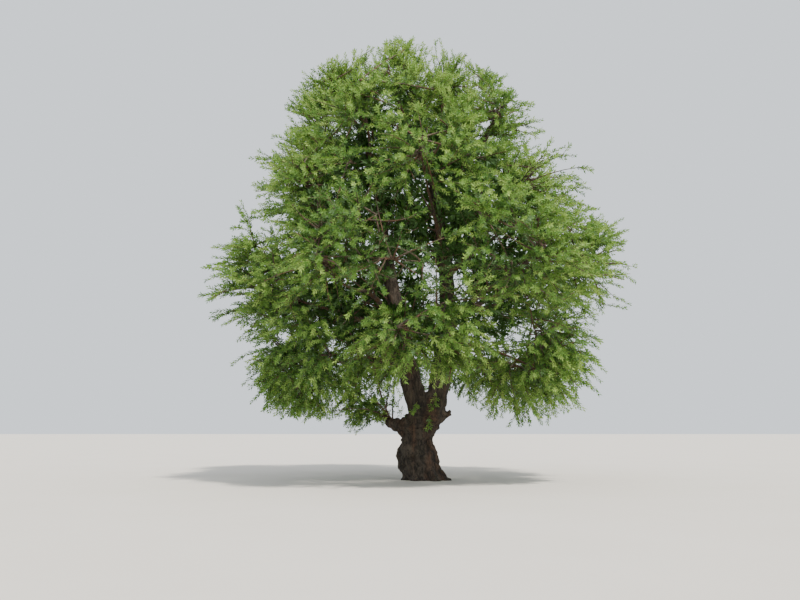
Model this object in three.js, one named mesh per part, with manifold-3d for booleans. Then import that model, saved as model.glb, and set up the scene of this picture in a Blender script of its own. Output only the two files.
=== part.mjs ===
// A large, old, broad-crowned neem tree: a short gnarled trunk with two stubs of lost limbs, a low fork
// into two leaders, boughs that leave the leaders tier by tier, and a mass of foliage at each bough's end.
// Millimetres and degrees. +X is the tree's right as seen from the front, +Y its back, +Z up.
// The origin is the middle of the flat cut at ground level.

import * as THREE from 'three';
import { mergeVertices } from 'three/addons/utils/BufferGeometryUtils.js';
import Module from 'manifold-3d';

const wasm = await Module();
wasm.setup();

// Air between a limb and its parent, or between a bough's tip and the stem of its foliage.
const SEAM = 0.3;
// How much a parent is grown before it cuts a limb: a faceted wall moves by a little less than this.
const CUT_GROWTH = 0.4;
// A join or cut leaves needless corners: those that move the surface by less than this are dropped, and
// corners this near each other count as one.
const WELD = { limb: 0.02, foliage: 1.5, corner: 0.002 };
// The angle at which twigs and leaves follow each other round a stem.
const GOLDEN_ANGLE = 137.508;
// Shares of a turn that never fall in step: the plastic ratio's and the golden ratio's.
const SCATTER_TURNS = { seed: 0.7548776662, step: 0.6180339887 };
// How finely a mass's own space is searched, a height is found on a curve, and a limb is sampled.
const SEARCH = { reach: 24, height: 30, limb: 40 };

// The trunk from the ground cut to the crotch: height, middle and half width.
const TRUNK_STATIONS = [
  { z: 0, x: 40, half: 450 },
  { z: 420, x: -90, half: 540 },
  { z: 780, x: -165, half: 560 },
  { z: 1150, x: -205, half: 425 },
  { z: 1520, x: -90, half: 470 },
  { z: 1950, x: 120, half: 520 },
  { z: 2300, x: 150, half: 480 },
  { z: 2620, x: 90, half: 200 },
];
const TRUNK_DEPTH = 0.88;
const TRUNK_SIDES = 24;
const TRUNK_RINGS = 12;
// Rings stand closer together near the ground, where the roots flare.
const RING_CROWDING = 1.3;
// Ribs that run up the trunk and twist slowly: how many, how deep as a share of the half width, and where.
const TRUNK_RIBS = [
  { count: 2, depth: 0.04, from: 20 },
  { count: 3, depth: 0.06, from: 200 },
  { count: 5, depth: 0.05, from: 65 },
];
const RIB_TWIST = 0.02;
// Roots that swell the foot: direction, extra reach and half angle.
const ROOT_LOBES = [
  { azimuth: 352, reach: 330, spread: 20 },
  { azimuth: 62, reach: 230, spread: 20 },
  { azimuth: 128, reach: 300, spread: 22 },
  { azimuth: 190, reach: 170, spread: 20 },
  { azimuth: 243, reach: 250, spread: 18 },
  { azimuth: 300, reach: 300, spread: 20 },
];
const ROOT_HEIGHT = 240;
const ROOT_FALL = 1.2;

// What the trunk divides into: two fork arms that the leaders stand on, and two stubs of lost limbs.
const FORK_ARMS = {
  left: { from: [20, 0, 1550], to: [-390, 0, 2950], thick: 390, thin: 285 },
  right: { from: [190, 20, 1550], to: [520, 40, 2990], thick: 400, thin: 300 },
};
const STUBS = {
  left: { from: [-120, -40, 1420], to: [-1090, -120, 1700], thick: 330, thin: 105 },
  right: { from: [300, -20, 1560], to: [800, -60, 1960], thick: 250, thin: 100 },
};
const ARM_SIDES = 12;
const STUB_SIDES = 10;
const ARM_STEPS = 3;

// The tiers of foliage: how many masses, the first one's direction, the height and the middle of the ring,
// its radius, and each mass's half width and half height. Lift raises the masses in front and behind, and
// lean raises the ones on the right and lowers the ones on the left.
const TIERS = [
  { name: 'skirt', count: 6, first: 30, z: 3050, lift: 1000, x: -400, ring: 3750, wide: 2200, tall: 1600 },
  { name: 'low', count: 7, first: -12, z: 5750, lean: 350, x: -50, ring: 4850, wide: 2500, tall: 1850 },
  { name: 'mid', count: 6, first: 27, z: 8400, x: -120, ring: 3770, wide: 2350, tall: 1850 },
  { name: 'high', count: 4, first: 60, z: 10650, x: -430, ring: 2880, wide: 2300, tall: 1750 },
  { name: 'top', count: 3, first: 30, z: 12450, lift: -700, x: -1000, ring: 1750, wide: 2150, tall: 1600 },
  { name: 'crest', count: 1, first: 0, z: 12950, x: -520, ring: 0, wide: 1600, tall: 1380 },
  { name: 'stub', count: 1, first: 0, z: 2300, x: -1850, ring: 0, wide: 1100, tall: 850 },
];
// How far a mass strays from its even place: round the ring, along it and up.
const STRAY = { azimuth: 7, ring: 220, z: 200 };

// Leaders: the two stems that go on from the fork arms to the top of the crown.
const LEADERS = {
  left: { bend: [-1000, 60, 5600], rise: [-1150, 100, 9300], thin: 62, mass: 'top_2' },
  right: { bend: [930, 120, 5700], rise: [420, 150, 9300], thin: 62, mass: 'crest_1' },
};
const LEADER_SIDES = 9;
const LEADER_STEPS = 10;

// Boughs by tier: how far below its mass each leaves its leader, how high above the fork it does so at
// least, and its radius there.
const BOUGHS = {
  skirt: { drop: 1500, least: 150, thick: 105 },
  low: { drop: 1450, least: 950, thick: 125 },
  mid: { drop: 2300, least: 0, thick: 105 },
  high: { drop: 2200, least: 0, thick: 82 },
  top: { drop: 2300, least: 0, thick: 62 },
  stub: { drop: 0, least: 0, thick: 75 },
};
const STUB_BOUGH_START = [-700, -85, 1600];
const BOUGH_STAGGER = 210;
const BOUGH_THIN = 42;
const BOUGH_SIDES = 5;
const BOUGH_STEPS = 4;
const BOUGH_BOW = { out: 0.28, up: 0.16, turn: 0.2 };
// A bough ends this share of the way from its mass's middle to the edge of the mass's own space.
const ENTRY_SHARE = 0.82;

// Foliage: lengths in it are shares of a mass's half width, and reaches are shares of its half sizes.
// A mass has one stem, which overruns the mass's middle, and a lumpy core in its dense inside.
const STEM = { thin: 16, overrun: 0.3, sides: BOUGH_SIDES, steps: 1 };
const CORE = { share: 0.5, lumps: 0.26 };
// Twigs root along the stem, from one share of its length over a further share, and reach out as far.
const TWIG = { count: 7, thick: 34, thin: 12, bow: 0.06, sides: 3, steps: 1 };
const TWIG_ROOTS = { from: 0.45, spread: 0.5 };
const TWIG_REACH = { from: 0.9, spread: 0.1, least: 0.5 };
// Twigs grow away from the crown's dark heart: the first straight away from it, the last at this cosine.
const CROWN_HEART = [-200, 0, 6300];
const LAST_TWIG = -0.35;
// A leaf spray goes on from each twig's end, a little askew, and the others lean out further back.
const LEAF = { length: 0.52, width: 0.26, thickness: 0.016, widest: 0.48 };
const LEAF_PLACES = [0.98, 0.82];
const LEAF_LEAN = { tip: 5, side: 66 };
const TIP_LEAF_ROOM = 0.37;
// The sizes that a spray is tried in, until one fits its mass's own space.
const LEAF_SIZES = [1, 0.85, 0.7, 0.55];
// Two masses keep this share of their half sizes between them, and foliage this far from any limb.
const CELL_MARGIN = 0.022;
const LIMB_CLEARANCE = 45;

const FINISH = {
  bark: { color: 0x5b4636, roughness: 0.95, metalness: 0 },
  boughBark: { color: 0x6b5443, roughness: 0.92, metalness: 0 },
  foliage: { color: 0x5f8f2e, roughness: 0.7, metalness: 0 },
};

const UP = new THREE.Vector3(0, 0, 1);
const radians = (degrees) => THREE.MathUtils.degToRad(degrees);
const vector = ([x, y, z]) => new THREE.Vector3(x, y, z);
const lerp = THREE.MathUtils.lerp;

/** An even, repeatable scatter from 0 to 1: equal turns for each step, from a start that the seed sets. */
function scatter(seed, step) {
  const value = seed * SCATTER_TURNS.seed + step * SCATTER_TURNS.step + 0.5;
  return value - Math.floor(value);
}

/** A station's value at height z, eased by half a cosine wave from station to station. */
function atHeight(key, z) {
  const next = TRUNK_STATIONS.findIndex((station) => station.z > z);
  const above = next < 0 ? TRUNK_STATIONS.length - 1 : next;
  const [lower, upper] = [TRUNK_STATIONS[above - 1], TRUNK_STATIONS[above]];
  const share = (z - lower.z) / (upper.z - lower.z);
  return lerp(lower[key], upper[key], (1 - Math.cos(Math.PI * share)) / 2);
}

/** The trunk's radius in one direction at one height: its half width, ribbed, with the roots' swelling. */
function trunkRadius(azimuth, z) {
  const ribs = TRUNK_RIBS.reduce((sum, rib) => {
    const turn = radians(azimuth - rib.from + z * RIB_TWIST);
    return sum + rib.depth * Math.cos(rib.count * turn);
  }, 0);
  const roots = ROOT_LOBES.reduce((sum, lobe) => {
    const away = ((azimuth - lobe.azimuth + 540) % 360) - 180;
    return sum + lobe.reach * Math.exp(-((away / lobe.spread) ** 2));
  }, 0);
  return atHeight('half', z) * (1 + ribs) + roots * Math.exp(-((z / ROOT_HEIGHT) ** ROOT_FALL));
}

/** A closed body from rings of points, each anticlockwise as seen from the last ring's end. */
function bodyFromRings(rings, firstMiddle, lastMiddle) {
  const sides = rings[0].length;
  const points = [...rings.flat(), firstMiddle, lastMiddle];
  const [first, last] = [points.length - 2, points.length - 1];
  const lastRing = (rings.length - 1) * sides;
  const index = [];
  for (let side = 0; side < sides; side++) {
    const next = (side + 1) % sides;
    for (let start = 0; start < lastRing; start += sides) {
      const [a, b] = [start + side, start + next];
      index.push(a, b, b + sides, a, b + sides, a + sides);
    }
    index.push(first, next, side, last, lastRing + side, lastRing + next);
  }
  return new THREE.BufferGeometry().setFromPoints(points).setIndex(index);
}

/** The trunk's column, from ring to ring round its leaning middle line. */
function columnGeometry(growth) {
  const top = TRUNK_STATIONS[TRUNK_STATIONS.length - 1].z;
  const middle = (z) => new THREE.Vector3(atHeight('x', z), 0, z);
  const rings = [];
  for (let ring = 0; ring <= TRUNK_RINGS; ring++) {
    const z = top * (ring / TRUNK_RINGS) ** RING_CROWDING;
    const points = [];
    for (let side = 0; side < TRUNK_SIDES; side++) {
      const azimuth = (360 * side) / TRUNK_SIDES;
      const reach = trunkRadius(azimuth, z) + growth;
      const x = reach * Math.cos(radians(azimuth));
      const y = reach * TRUNK_DEPTH * Math.sin(radians(azimuth));
      points.push(middle(z).add(new THREE.Vector3(x, y, 0)));
    }
    rings.push(points);
  }
  return bodyFromRings(rings, middle(0), middle(top));
}

/** A round limb along a curve, its radius going evenly from thick to thin. Growth moves its ends too. */
function limbGeometry({ curve, thick, thin, sides, steps }, growth = 0) {
  const { tangents, normals, binormals } = curve.computeFrenetFrames(steps, false);
  const first = curve.getPointAt(0).addScaledVector(tangents[0], -growth);
  const last = curve.getPointAt(1).addScaledVector(tangents[steps], growth);
  const rings = [];
  for (let step = 0; step <= steps; step++) {
    const between = step === steps ? last : curve.getPointAt(step / steps);
    const middle = step === 0 ? first : between;
    const radius = lerp(thick, thin, step / steps) + growth;
    const points = [];
    for (let side = 0; side < sides; side++) {
      const turn = (2 * Math.PI * side) / sides;
      const point = middle.clone().addScaledVector(normals[step], radius * Math.cos(turn));
      points.push(point.addScaledVector(binormals[step], radius * Math.sin(turn)));
    }
    rings.push(points);
  }
  return bodyFromRings(rings, first, last);
}

/** A closed geometry as a solid that can be joined and cut. */
function solidOf(geometry) {
  const bare = new THREE.BufferGeometry();
  bare.setAttribute('position', geometry.getAttribute('position'));
  bare.setIndex(geometry.index);
  const merged = mergeVertices(bare, 1e-3);
  const vertProperties = new Float32Array(merged.attributes.position.array);
  const triVerts = new Uint32Array(merged.index.array);
  return new wasm.Manifold(new wasm.Mesh({ numProp: 3, vertProperties, triVerts }));
}

/** The solid's largest body, welded: loose scraps are dropped and sealed hollows filled. */
function largestBody(solid, weld) {
  const bodies = solid.simplify(weld).decompose();
  return bodies.reduce((best, body) => (body.volume() > best.volume() ? body : best));
}

/** A solid's surface as a geometry. */
function geometryOf(solid) {
  const { vertProperties, triVerts } = solid.getMesh();
  const geometry = new THREE.BufferGeometry();
  geometry.setAttribute('position', new THREE.BufferAttribute(vertProperties, 3));
  geometry.setIndex(new THREE.BufferAttribute(triVerts, 1));
  return geometry;
}

/** Whether every edge of a solid has two faces, also once corners that fall on each other are one. */
function isSound(solid) {
  const { vertProperties, triVerts } = solidOf(geometryOf(solid)).getMesh();
  const steps = [...vertProperties].map((value) => Math.round(value / WELD.corner));
  const corners = Array.from({ length: steps.length / 3 }, (_, i) => steps.slice(3 * i, 3 * i + 3).join());
  const faces = new Map();
  for (let i = 0; i < triVerts.length; i++) {
    const next = i % 3 === 2 ? i - 2 : i + 1;
    const edge = [corners[triVerts[i]], corners[triVerts[next]]].sort().join(' ');
    faces.set(edge, (faces.get(edge) ?? 0) + 1);
  }
  return [...faces.values()].every((count) => count === 2);
}

/** A named piece of the tree, drawn from its solid, in its own material. */
function piece(name, solid, finish) {
  const geometry = geometryOf(solid);
  geometry.computeVertexNormals();
  const mesh = new THREE.Mesh(geometry, new THREE.MeshStandardMaterial(finish));
  mesh.name = name;
  return mesh;
}

/** The trunk: its column, fork arms and stubs in one body. Growth makes the larger copy that cuts limbs. */
function trunkSolid(growth) {
  const arms = Object.values(FORK_ARMS).map((arm) => ({ ...arm, sides: ARM_SIDES }));
  const stubs = Object.values(STUBS).map((stub) => ({ ...stub, sides: STUB_SIDES }));
  return [...arms, ...stubs].reduce((joined, limb) => {
    const curve = new THREE.LineCurve3(vector(limb.from), vector(limb.to));
    return joined.add(solidOf(limbGeometry({ ...limb, curve, steps: ARM_STEPS }, growth)));
  }, solidOf(columnGeometry(growth)));
}

/** Every mass of foliage as a place and half sizes, worked out tier by tier. */
function planMasses() {
  return TIERS.flatMap((tier, level) =>
    Array.from({ length: tier.count }, (_, place) => {
      const seed = level * 11 + place;
      const stray = (step, reach) => (scatter(seed, step) * 2 - 1) * reach;
      const azimuth = radians(tier.first + (360 * place) / tier.count + stray(1, STRAY.azimuth));
      const ring = tier.ring > 0 ? tier.ring + stray(2, STRAY.ring) : 0;
      const rise = (tier.lift ?? 0) * Math.sin(azimuth) ** 2 + (tier.lean ?? 0) * Math.cos(azimuth);
      const strayUp = tier.ring > 0 ? stray(3, STRAY.z) : 0;
      return {
        name: `${tier.name}_${place + 1}`,
        tier: tier.name,
        seed,
        place,
        azimuth,
        centre: new THREE.Vector3(
          tier.x + ring * Math.cos(azimuth),
          ring * Math.sin(azimuth),
          tier.z + rise + strayUp,
        ),
        half: new THREE.Vector3(tier.wide, tier.wide, tier.tall),
      };
    }),
  );
}

/** How far a point is from a mass's middle, as a share of the mass's half sizes. */
const shareFrom = (mass, point) => point.clone().sub(mass.centre).divide(mass.half).length();

/** Whether a point is in a mass's own space: within its half sizes, and nearer to it than to any other. */
function owns(mass, point, masses) {
  const share = shareFrom(mass, point);
  return (
    share <= 1 &&
    masses.every((other) => other === mass || shareFrom(other, point) > share + CELL_MARGIN)
  );
}

/** The furthest share out from a mass's middle, in a direction and up to a limit, that is still its own. */
function reachAlong(mass, direction, limit, masses) {
  for (let step = SEARCH.reach; step > 0; step--) {
    const share = (limit * step) / SEARCH.reach;
    if (owns(mass, pointAt(mass, direction, share), masses)) return share;
  }
  return 0;
}

/** The point at a share of a mass's half sizes, in a direction from its middle. */
const pointAt = (mass, direction, share) =>
  direction.clone().multiply(mass.half).multiplyScalar(share).add(mass.centre);

/** Where a limb that comes from a point enters a mass, and which way it is heading there. */
function entryOf(mass, from, masses) {
  const back = from.clone().sub(mass.centre).divide(mass.half).normalize();
  const point = pointAt(mass, back, reachAlong(mass, back, 1, masses) * ENTRY_SHARE);
  return { point, heading: mass.centre.clone().sub(point).normalize() };
}

/** A leader: it goes on straight from its fork arm, bends, and rises to its mass at the top. */
function planLeader(side, masses) {
  const arm = FORK_ARMS[side];
  const { bend, rise, thin, mass: massName } = LEADERS[side];
  const mass = masses.find((each) => each.name === massName);
  const heading = vector(arm.to).sub(vector(arm.from)).normalize();
  const start = vector(arm.to).addScaledVector(heading, SEAM);
  mass.entry = entryOf(mass, vector(rise), masses);
  mass.entryRadius = thin;
  const onward = start.clone().addScaledVector(heading, start.distanceTo(vector(bend)));
  const curve = new THREE.CubicBezierCurve3(start, onward, vector(rise), mass.entry.point);
  const name = `leader_${side}`;
  return { name, curve, thick: arm.thin, thin, sides: LEADER_SIDES, steps: LEADER_STEPS };
}

/** The point at a height on a curve that rises all the way. */
function pointAtHeight(curve, z) {
  let [low, high] = [0, 1];
  for (let round = 0; round < SEARCH.height; round++) {
    const middle = (low + high) / 2;
    if (curve.getPoint(middle).z < z) low = middle;
    else high = middle;
  }
  return curve.getPoint(low);
}

/** A bough: it leaves its leader below its mass, bows out and up, and ends where it enters the mass. */
function planBough(mass, leaders, masses) {
  const { drop, least, thick } = BOUGHS[mass.tier];
  const parent = leaders[Math.cos(mass.azimuth) > 0 ? 'right' : 'left'];
  const lowest = parent.curve.getPoint(0).z + least + BOUGH_STAGGER * (mass.place % 3);
  const start =
    mass.tier === 'stub'
      ? vector(STUB_BOUGH_START)
      : pointAtHeight(parent.curve, Math.max(mass.centre.z - drop, lowest));
  const outward = mass.centre.clone().sub(start).setZ(0).normalize();
  const length = mass.centre.distanceTo(start);
  const bow = start.clone().addScaledVector(outward, length * BOUGH_BOW.out);
  bow.addScaledVector(UP, length * BOUGH_BOW.up);
  mass.entry = entryOf(mass, bow, masses);
  mass.entryRadius = BOUGH_THIN;
  const turn = mass.entry.point.clone().addScaledVector(mass.entry.heading, -length * BOUGH_BOW.turn);
  const curve = new THREE.CubicBezierCurve3(start, bow, turn, mass.entry.point);
  const name = `bough_${mass.name}`;
  return { name, curve, thick, thin: BOUGH_THIN, sides: BOUGH_SIDES, steps: BOUGH_STEPS };
}

/** Points down a limb's middle with the radius there, to keep foliage clear of it. */
function limbSamples({ curve, thick, thin }) {
  const radius = (i) => lerp(thick, thin, i / SEARCH.limb);
  return curve.getSpacedPoints(SEARCH.limb).map((point, i) => ({ point, radius: radius(i) }));
}

/** Whether all of a geometry's points are in the mass's own space and clear of every limb. */
function fits(geometry, mass, masses, samples) {
  const position = geometry.getAttribute('position');
  for (let i = 0; i < position.count; i++) {
    const point = new THREE.Vector3().fromBufferAttribute(position, i);
    if (!owns(mass, point, masses)) return false;
    if (samples.some((limb) => limb.point.distanceTo(point) < limb.radius + LIMB_CLEARANCE)) return false;
  }
  return true;
}

/** The core of a mass: a lumpy round, drawn in wherever the mass's own space ends sooner. */
function coreSolid(mass, masses, cutters) {
  const round = new THREE.IcosahedronGeometry(1, 1);
  round.deleteAttribute('normal');
  round.deleteAttribute('uv');
  const core = mergeVertices(round, 1e-4);
  const position = core.getAttribute('position');
  for (let i = 0; i < position.count; i++) {
    const direction = new THREE.Vector3().fromBufferAttribute(position, i).normalize();
    const lumpy = CORE.share * (1 + CORE.lumps * (2 * scatter(mass.seed, i) - 1));
    const point = pointAt(mass, direction, reachAlong(mass, direction, lumpy, masses));
    position.setXYZ(i, point.x, point.y, point.z);
  }
  return cutters.reduce((solid, cutter) => solid.subtract(cutter), solidOf(core));
}

/** Twig number k of a mass: it bows from the stem to a tip, the tips spread evenly over its lit side. */
function twigCurve(mass, k, stem, masses) {
  const outward = mass.centre.clone().sub(vector(CROWN_HEART)).normalize();
  const aside = new THREE.Vector3().crossVectors(outward, UP).normalize();
  const above = new THREE.Vector3().crossVectors(aside, outward);
  const level = lerp(1, LAST_TWIG, k / (TWIG.count - 1));
  const round = radians(k * GOLDEN_ANGLE + 360 * scatter(mass.seed, 7));
  const flat = Math.sqrt(1 - level * level);
  const direction = outward.multiplyScalar(level);
  direction.addScaledVector(aside, flat * Math.cos(round)).addScaledVector(above, flat * Math.sin(round));
  const wanted = TWIG_REACH.from + TWIG_REACH.spread * scatter(mass.seed, k + 3);
  const reach = reachAlong(mass, direction, wanted, masses);
  if (reach < TWIG_REACH.least) return null;
  const tip = pointAt(mass, direction, reach);
  const root = stem.getPointAt(TWIG_ROOTS.from + TWIG_ROOTS.spread * scatter(mass.seed, k + 5));
  const length = tip.distanceTo(root);
  const end = root.clone().lerp(tip, 1 - (TIP_LEAF_ROOM * mass.half.x) / length);
  const bow = root.clone().lerp(end, 0.5).addScaledVector(UP, length * TWIG.bow);
  return new THREE.QuadraticBezierCurve3(root, bow, end);
}

/** A leaf spray: a thin eight-faced blade from its sunk root to its tip, widest before the middle. */
function leafGeometry(root, heading, aside, size) {
  const blade = new THREE.OctahedronGeometry(1, 0);
  blade.deleteAttribute('normal');
  blade.deleteAttribute('uv');
  const position = blade.getAttribute('position');
  const across = new THREE.Vector3().crossVectors(heading, aside).normalize();
  const face = new THREE.Vector3().crossVectors(heading, across).normalize();
  for (let i = 0; i < position.count; i++) {
    const along = Math.abs(position.getX(i)) > 0.5 ? (1 + position.getX(i)) / 2 : LEAF.widest;
    const point = root.clone().addScaledVector(heading, along * LEAF.length * size);
    point.addScaledVector(across, (position.getY(i) * LEAF.width * size) / 2);
    point.addScaledVector(face, (position.getZ(i) * LEAF.thickness * size) / 2);
    position.setXYZ(i, point.x, point.y, point.z);
  }
  return mergeVertices(blade, 1e-3);
}

/** The leaf sprays of a twig: one goes on from its end, and the others stand out round it further back. */
function leavesOn(twig, mass, k, masses, samples) {
  return LEAF_PLACES.flatMap((place, n) => {
    const along = twig.getTangentAt(place);
    const aside = new THREE.Vector3().crossVectors(UP, along).normalize();
    aside.applyAxisAngle(along, radians(n * GOLDEN_ANGLE + 360 * scatter(mass.seed, k + 11)));
    const lean = radians(n === 0 ? LEAF_LEAN.tip : LEAF_LEAN.side);
    const heading = along.clone().multiplyScalar(Math.cos(lean)).addScaledVector(aside, Math.sin(lean));
    const root = twig.getPointAt(place).addScaledVector(heading, -TWIG.thin / 2);
    const facing = n === 0 ? aside : along;
    const leaf = LEAF_SIZES.map((size) => leafGeometry(root, heading, facing, size * mass.half.x)).find(
      (each) => fits(each, mass, masses, samples),
    );
    return leaf ? [solidOf(leaf)] : [];
  });
}

/** One mass of foliage: a stem, its core, twigs spread evenly round it and leaf sprays along the twigs. */
function foliageSolid(mass, masses, samples, cutters) {
  const { point, heading } = mass.entry;
  const start = point.clone().addScaledVector(heading, SEAM);
  const end = mass.centre.clone().addScaledVector(heading, mass.half.x * STEM.overrun);
  const stem = new THREE.LineCurve3(start, end);
  const stemLimb = { ...STEM, curve: stem, thick: mass.entryRadius };
  const core = coreSolid(mass, masses, cutters);
  let body = largestBody(solidOf(limbGeometry(stemLimb)).add(core), WELD.foliage);
  for (let k = 0; k < TWIG.count; k++) {
    const curve = twigCurve(mass, k, stem, masses);
    if (!curve) continue;
    const twig = limbGeometry({ ...TWIG, curve });
    if (!fits(twig, mass, masses, samples)) continue;
    for (const part of [solidOf(twig), ...leavesOn(curve, mass, k, masses, samples)]) {
      const grown = largestBody(body.add(part), WELD.foliage);
      if (isSound(grown)) body = grown;
    }
  }
  return body;
}

const masses = planMasses();
const leaders = { left: planLeader('left', masses), right: planLeader('right', masses) };
const boughs = masses.filter((mass) => !mass.entry).map((mass) => planBough(mass, leaders, masses));
const limbs = [...Object.values(leaders), ...boughs];
const samples = limbs.flatMap(limbSamples);
const cutters = limbs.map((limb) => solidOf(limbGeometry(limb, LIMB_CLEARANCE)));
const carriers = [trunkSolid(CUT_GROWTH)];
carriers.push(...Object.values(leaders).map((leader) => solidOf(limbGeometry(leader, CUT_GROWTH))));

const tree = new THREE.Group();
tree.name = 'neem_tree';
tree.add(piece('trunk', largestBody(trunkSolid(0), WELD.limb), FINISH.bark));
for (const leader of Object.values(leaders)) {
  tree.add(piece(leader.name, solidOf(limbGeometry(leader)), FINISH.bark));
}
for (const bough of boughs) {
  const body = carriers.reduce((solid, carrier) => solid.subtract(carrier), solidOf(limbGeometry(bough)));
  tree.add(piece(bough.name, largestBody(body, WELD.limb), FINISH.boughBark));
}
for (const mass of masses) {
  tree.add(piece(`foliage_${mass.name}`, foliageSolid(mass, masses, samples, cutters), FINISH.foliage));
}

export default tree;
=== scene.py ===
"""A large old neem tree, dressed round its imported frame: bark with relief, twigs and leaf sprays.

The masses of foliage in the frame are replaced by branches, shoots and leaf sprays that grow on from the
limbs by the same rule as the solids, carried to finer twigs within the same reach. Lengths are in metres
and angles in degrees. +X is the tree's right, +Y its back and +Z up, and the trunk stands on z = 0.
"""

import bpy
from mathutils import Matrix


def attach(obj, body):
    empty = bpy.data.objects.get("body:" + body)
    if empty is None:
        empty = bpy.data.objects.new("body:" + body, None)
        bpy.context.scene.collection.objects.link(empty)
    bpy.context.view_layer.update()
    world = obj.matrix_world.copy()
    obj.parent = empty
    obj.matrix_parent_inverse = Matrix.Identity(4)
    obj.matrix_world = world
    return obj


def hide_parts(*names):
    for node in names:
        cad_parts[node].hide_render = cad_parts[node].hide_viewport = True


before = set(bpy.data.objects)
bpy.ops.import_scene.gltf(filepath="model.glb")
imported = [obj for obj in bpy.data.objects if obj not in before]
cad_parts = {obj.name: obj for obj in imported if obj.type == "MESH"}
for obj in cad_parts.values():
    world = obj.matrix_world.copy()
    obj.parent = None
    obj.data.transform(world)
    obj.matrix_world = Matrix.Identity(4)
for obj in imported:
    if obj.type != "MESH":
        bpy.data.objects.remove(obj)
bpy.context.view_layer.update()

import logging
import math
from dataclasses import dataclass, field
from enum import Enum
from itertools import combinations

import bmesh
import bpy
import numpy as np
from mathutils import Vector

log = logging.getLogger("neem_tree")
norm = np.linalg.norm
Array = np.ndarray
Pair = tuple[float, float]
Triple = tuple[float, float, float]
Material = bpy.types.Material
Socket = bpy.types.NodeSocket

UP = np.array([0.0, 0.0, 1.0])
GOLDEN_ANGLE = 137.508

# The turns of the even scatter, and the turns and the factor that make the noise's numbers.
SCATTER_TURNS = (0.7548776662, 0.6180339887)
NOISE_TURNS = np.array([12.9898, 78.233, 37.719])
NOISE_SEED_TURN = 19.19
NOISE_FACTOR = 43758.5453

# Values of the source's rule, the last two of them where a limb enters its mass and where its stem ends.
CELL_MARGIN = 0.022
SEAM = 0.0003
CROWN_HEART = np.array([-0.2, 0.0, 6.3])
BOUGH_THIN = 0.042
ENTRY_SHARE = 0.82
STEM_PAST = 0.3


class Green(Enum):
    """The greens that leaf sprays are dealt out in, from painted light on the sunlit tips to painted shade in
    the crown's inside.
    """

    # Each green is a lit or shaded copy of one leaf, painted light and shade with some random tone; the first
    # is also the young tips' paler colour.
    SUNLIT_YOUNG = "young"
    SUNLIT = "sunlit"
    BRIGHT = "bright"
    HALF_LIT = "fresh"
    HALF_SHADED = "mature"
    GREYISH = "greyish"
    DEEP = "deep"
    SHADED = "shaded"


class Side(Enum):
    """The two sides that the trunk forks to."""

    LEFT = "left"
    RIGHT = "right"


def scatter(seed: Array, step: Array) -> Array:
    """The fractions of seed times one turn, plus step times another, plus a half."""
    value = seed * SCATTER_TURNS[0] + step * SCATTER_TURNS[1] + 0.5
    return value - np.floor(value)


def unit(vectors: Array) -> Array:
    """Vectors of length one in the same directions."""
    return vectors / np.maximum(norm(vectors, axis=-1, keepdims=True), 1e-9)


def flattened(vectors: Array, share: float) -> Array:
    """Vectors with their height cut down to a share."""
    return vectors * np.array([1.0, 1.0, share])


def mix(low: Array, high: Array, share: Array) -> Array:
    """The value at a share of the way from low to high."""
    return low + (high - low) * share


def smooth(value: Array, start: float, end: float) -> Array:
    """A ramp from 0 at start to 1 at end that is level at both: 3 s squared less 2 s cubed."""
    share = np.clip((value - start) / (end - start), 0.0, 1.0)
    return share * share * (3.0 - 2.0 * share)


def value_noise(points: Array, seed: int) -> Array:
    """Works out smooth, repeatable noise in space.

    Each corner of the unit cell round a point has a number, the fraction of a large sine. The eight
    numbers are mixed by the smooth step of the point's place in the cell.

    Args:
        points: Places, in cells.
        seed: Picks one noise among many.

    Returns:
        A value from -1 to 1 for each point.
    """
    cell = np.floor(points)
    place = points - cell
    ease = place * place * (3.0 - 2.0 * place)
    total = np.zeros(points.shape[:-1])
    for corner in np.ndindex(2, 2, 2):
        turned = (cell + corner) @ NOISE_TURNS + NOISE_SEED_TURN * seed
        number = np.sin(turned) * NOISE_FACTOR
        weight = np.where(np.array(corner) == 1, ease, 1.0 - ease).prod(axis=-1)
        total += weight * (number - np.floor(number))
    return 2.0 * total - 1.0


def bezier(controls: list[Array], share: Array) -> Array:
    """Points on one Bezier curve or on many at once.

    A point is the sum of the control points, each times its Bernstein weight, which is the binomial
    coefficient times share to the power i times (1 - share) to the power of the rest.

    Args:
        controls: The control points, each of shape (..., 3).
        share: How far along, from 0 to 1: one row for all curves, or one for each.

    Returns:
        The points, of shape (..., number of shares, 3).
    """
    degree = len(controls) - 1
    total = 0.0
    for i, control in enumerate(controls):
        weight = math.comb(degree, i) * share**i * (1.0 - share) ** (degree - i)
        total = total + weight[..., None] * np.asarray(control)[..., None, :]
    return total


def evenly(points: Array, count: int) -> Array:
    """A number of points at equal distances along a polyline, both ends among them."""
    run = np.concatenate([[0.0], np.cumsum(norm(np.diff(points, axis=0), axis=1))])
    wanted = np.linspace(0.0, run[-1], count)
    return np.stack([np.interp(wanted, run, points[:, axis]) for axis in range(3)], axis=1)


def fan(outward: Array, last_level: float, first_turn: float, count: int) -> Array:
    """Directions spread round one direction.

    A direction's cosine to that one goes evenly from 1 to the last level, and each turns round it by the
    golden angle from the one before.

    Args:
        outward: The unit direction that they spread round.
        last_level: The last one's cosine to it.
        first_turn: The first one's turn, in radians.
        count: How many are wanted.

    Returns:
        The unit directions, one a row.
    """
    aside = unit(np.cross(outward, UP))
    turn = (np.radians(np.arange(count) * GOLDEN_ANGLE) + first_turn)[:, None]
    sideways = aside * np.cos(turn) + np.cross(aside, outward) * np.sin(turn)
    level = np.linspace(1.0, last_level, count)[:, None]
    return outward * level + sideways * np.sqrt(1.0 - level**2)


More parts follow.
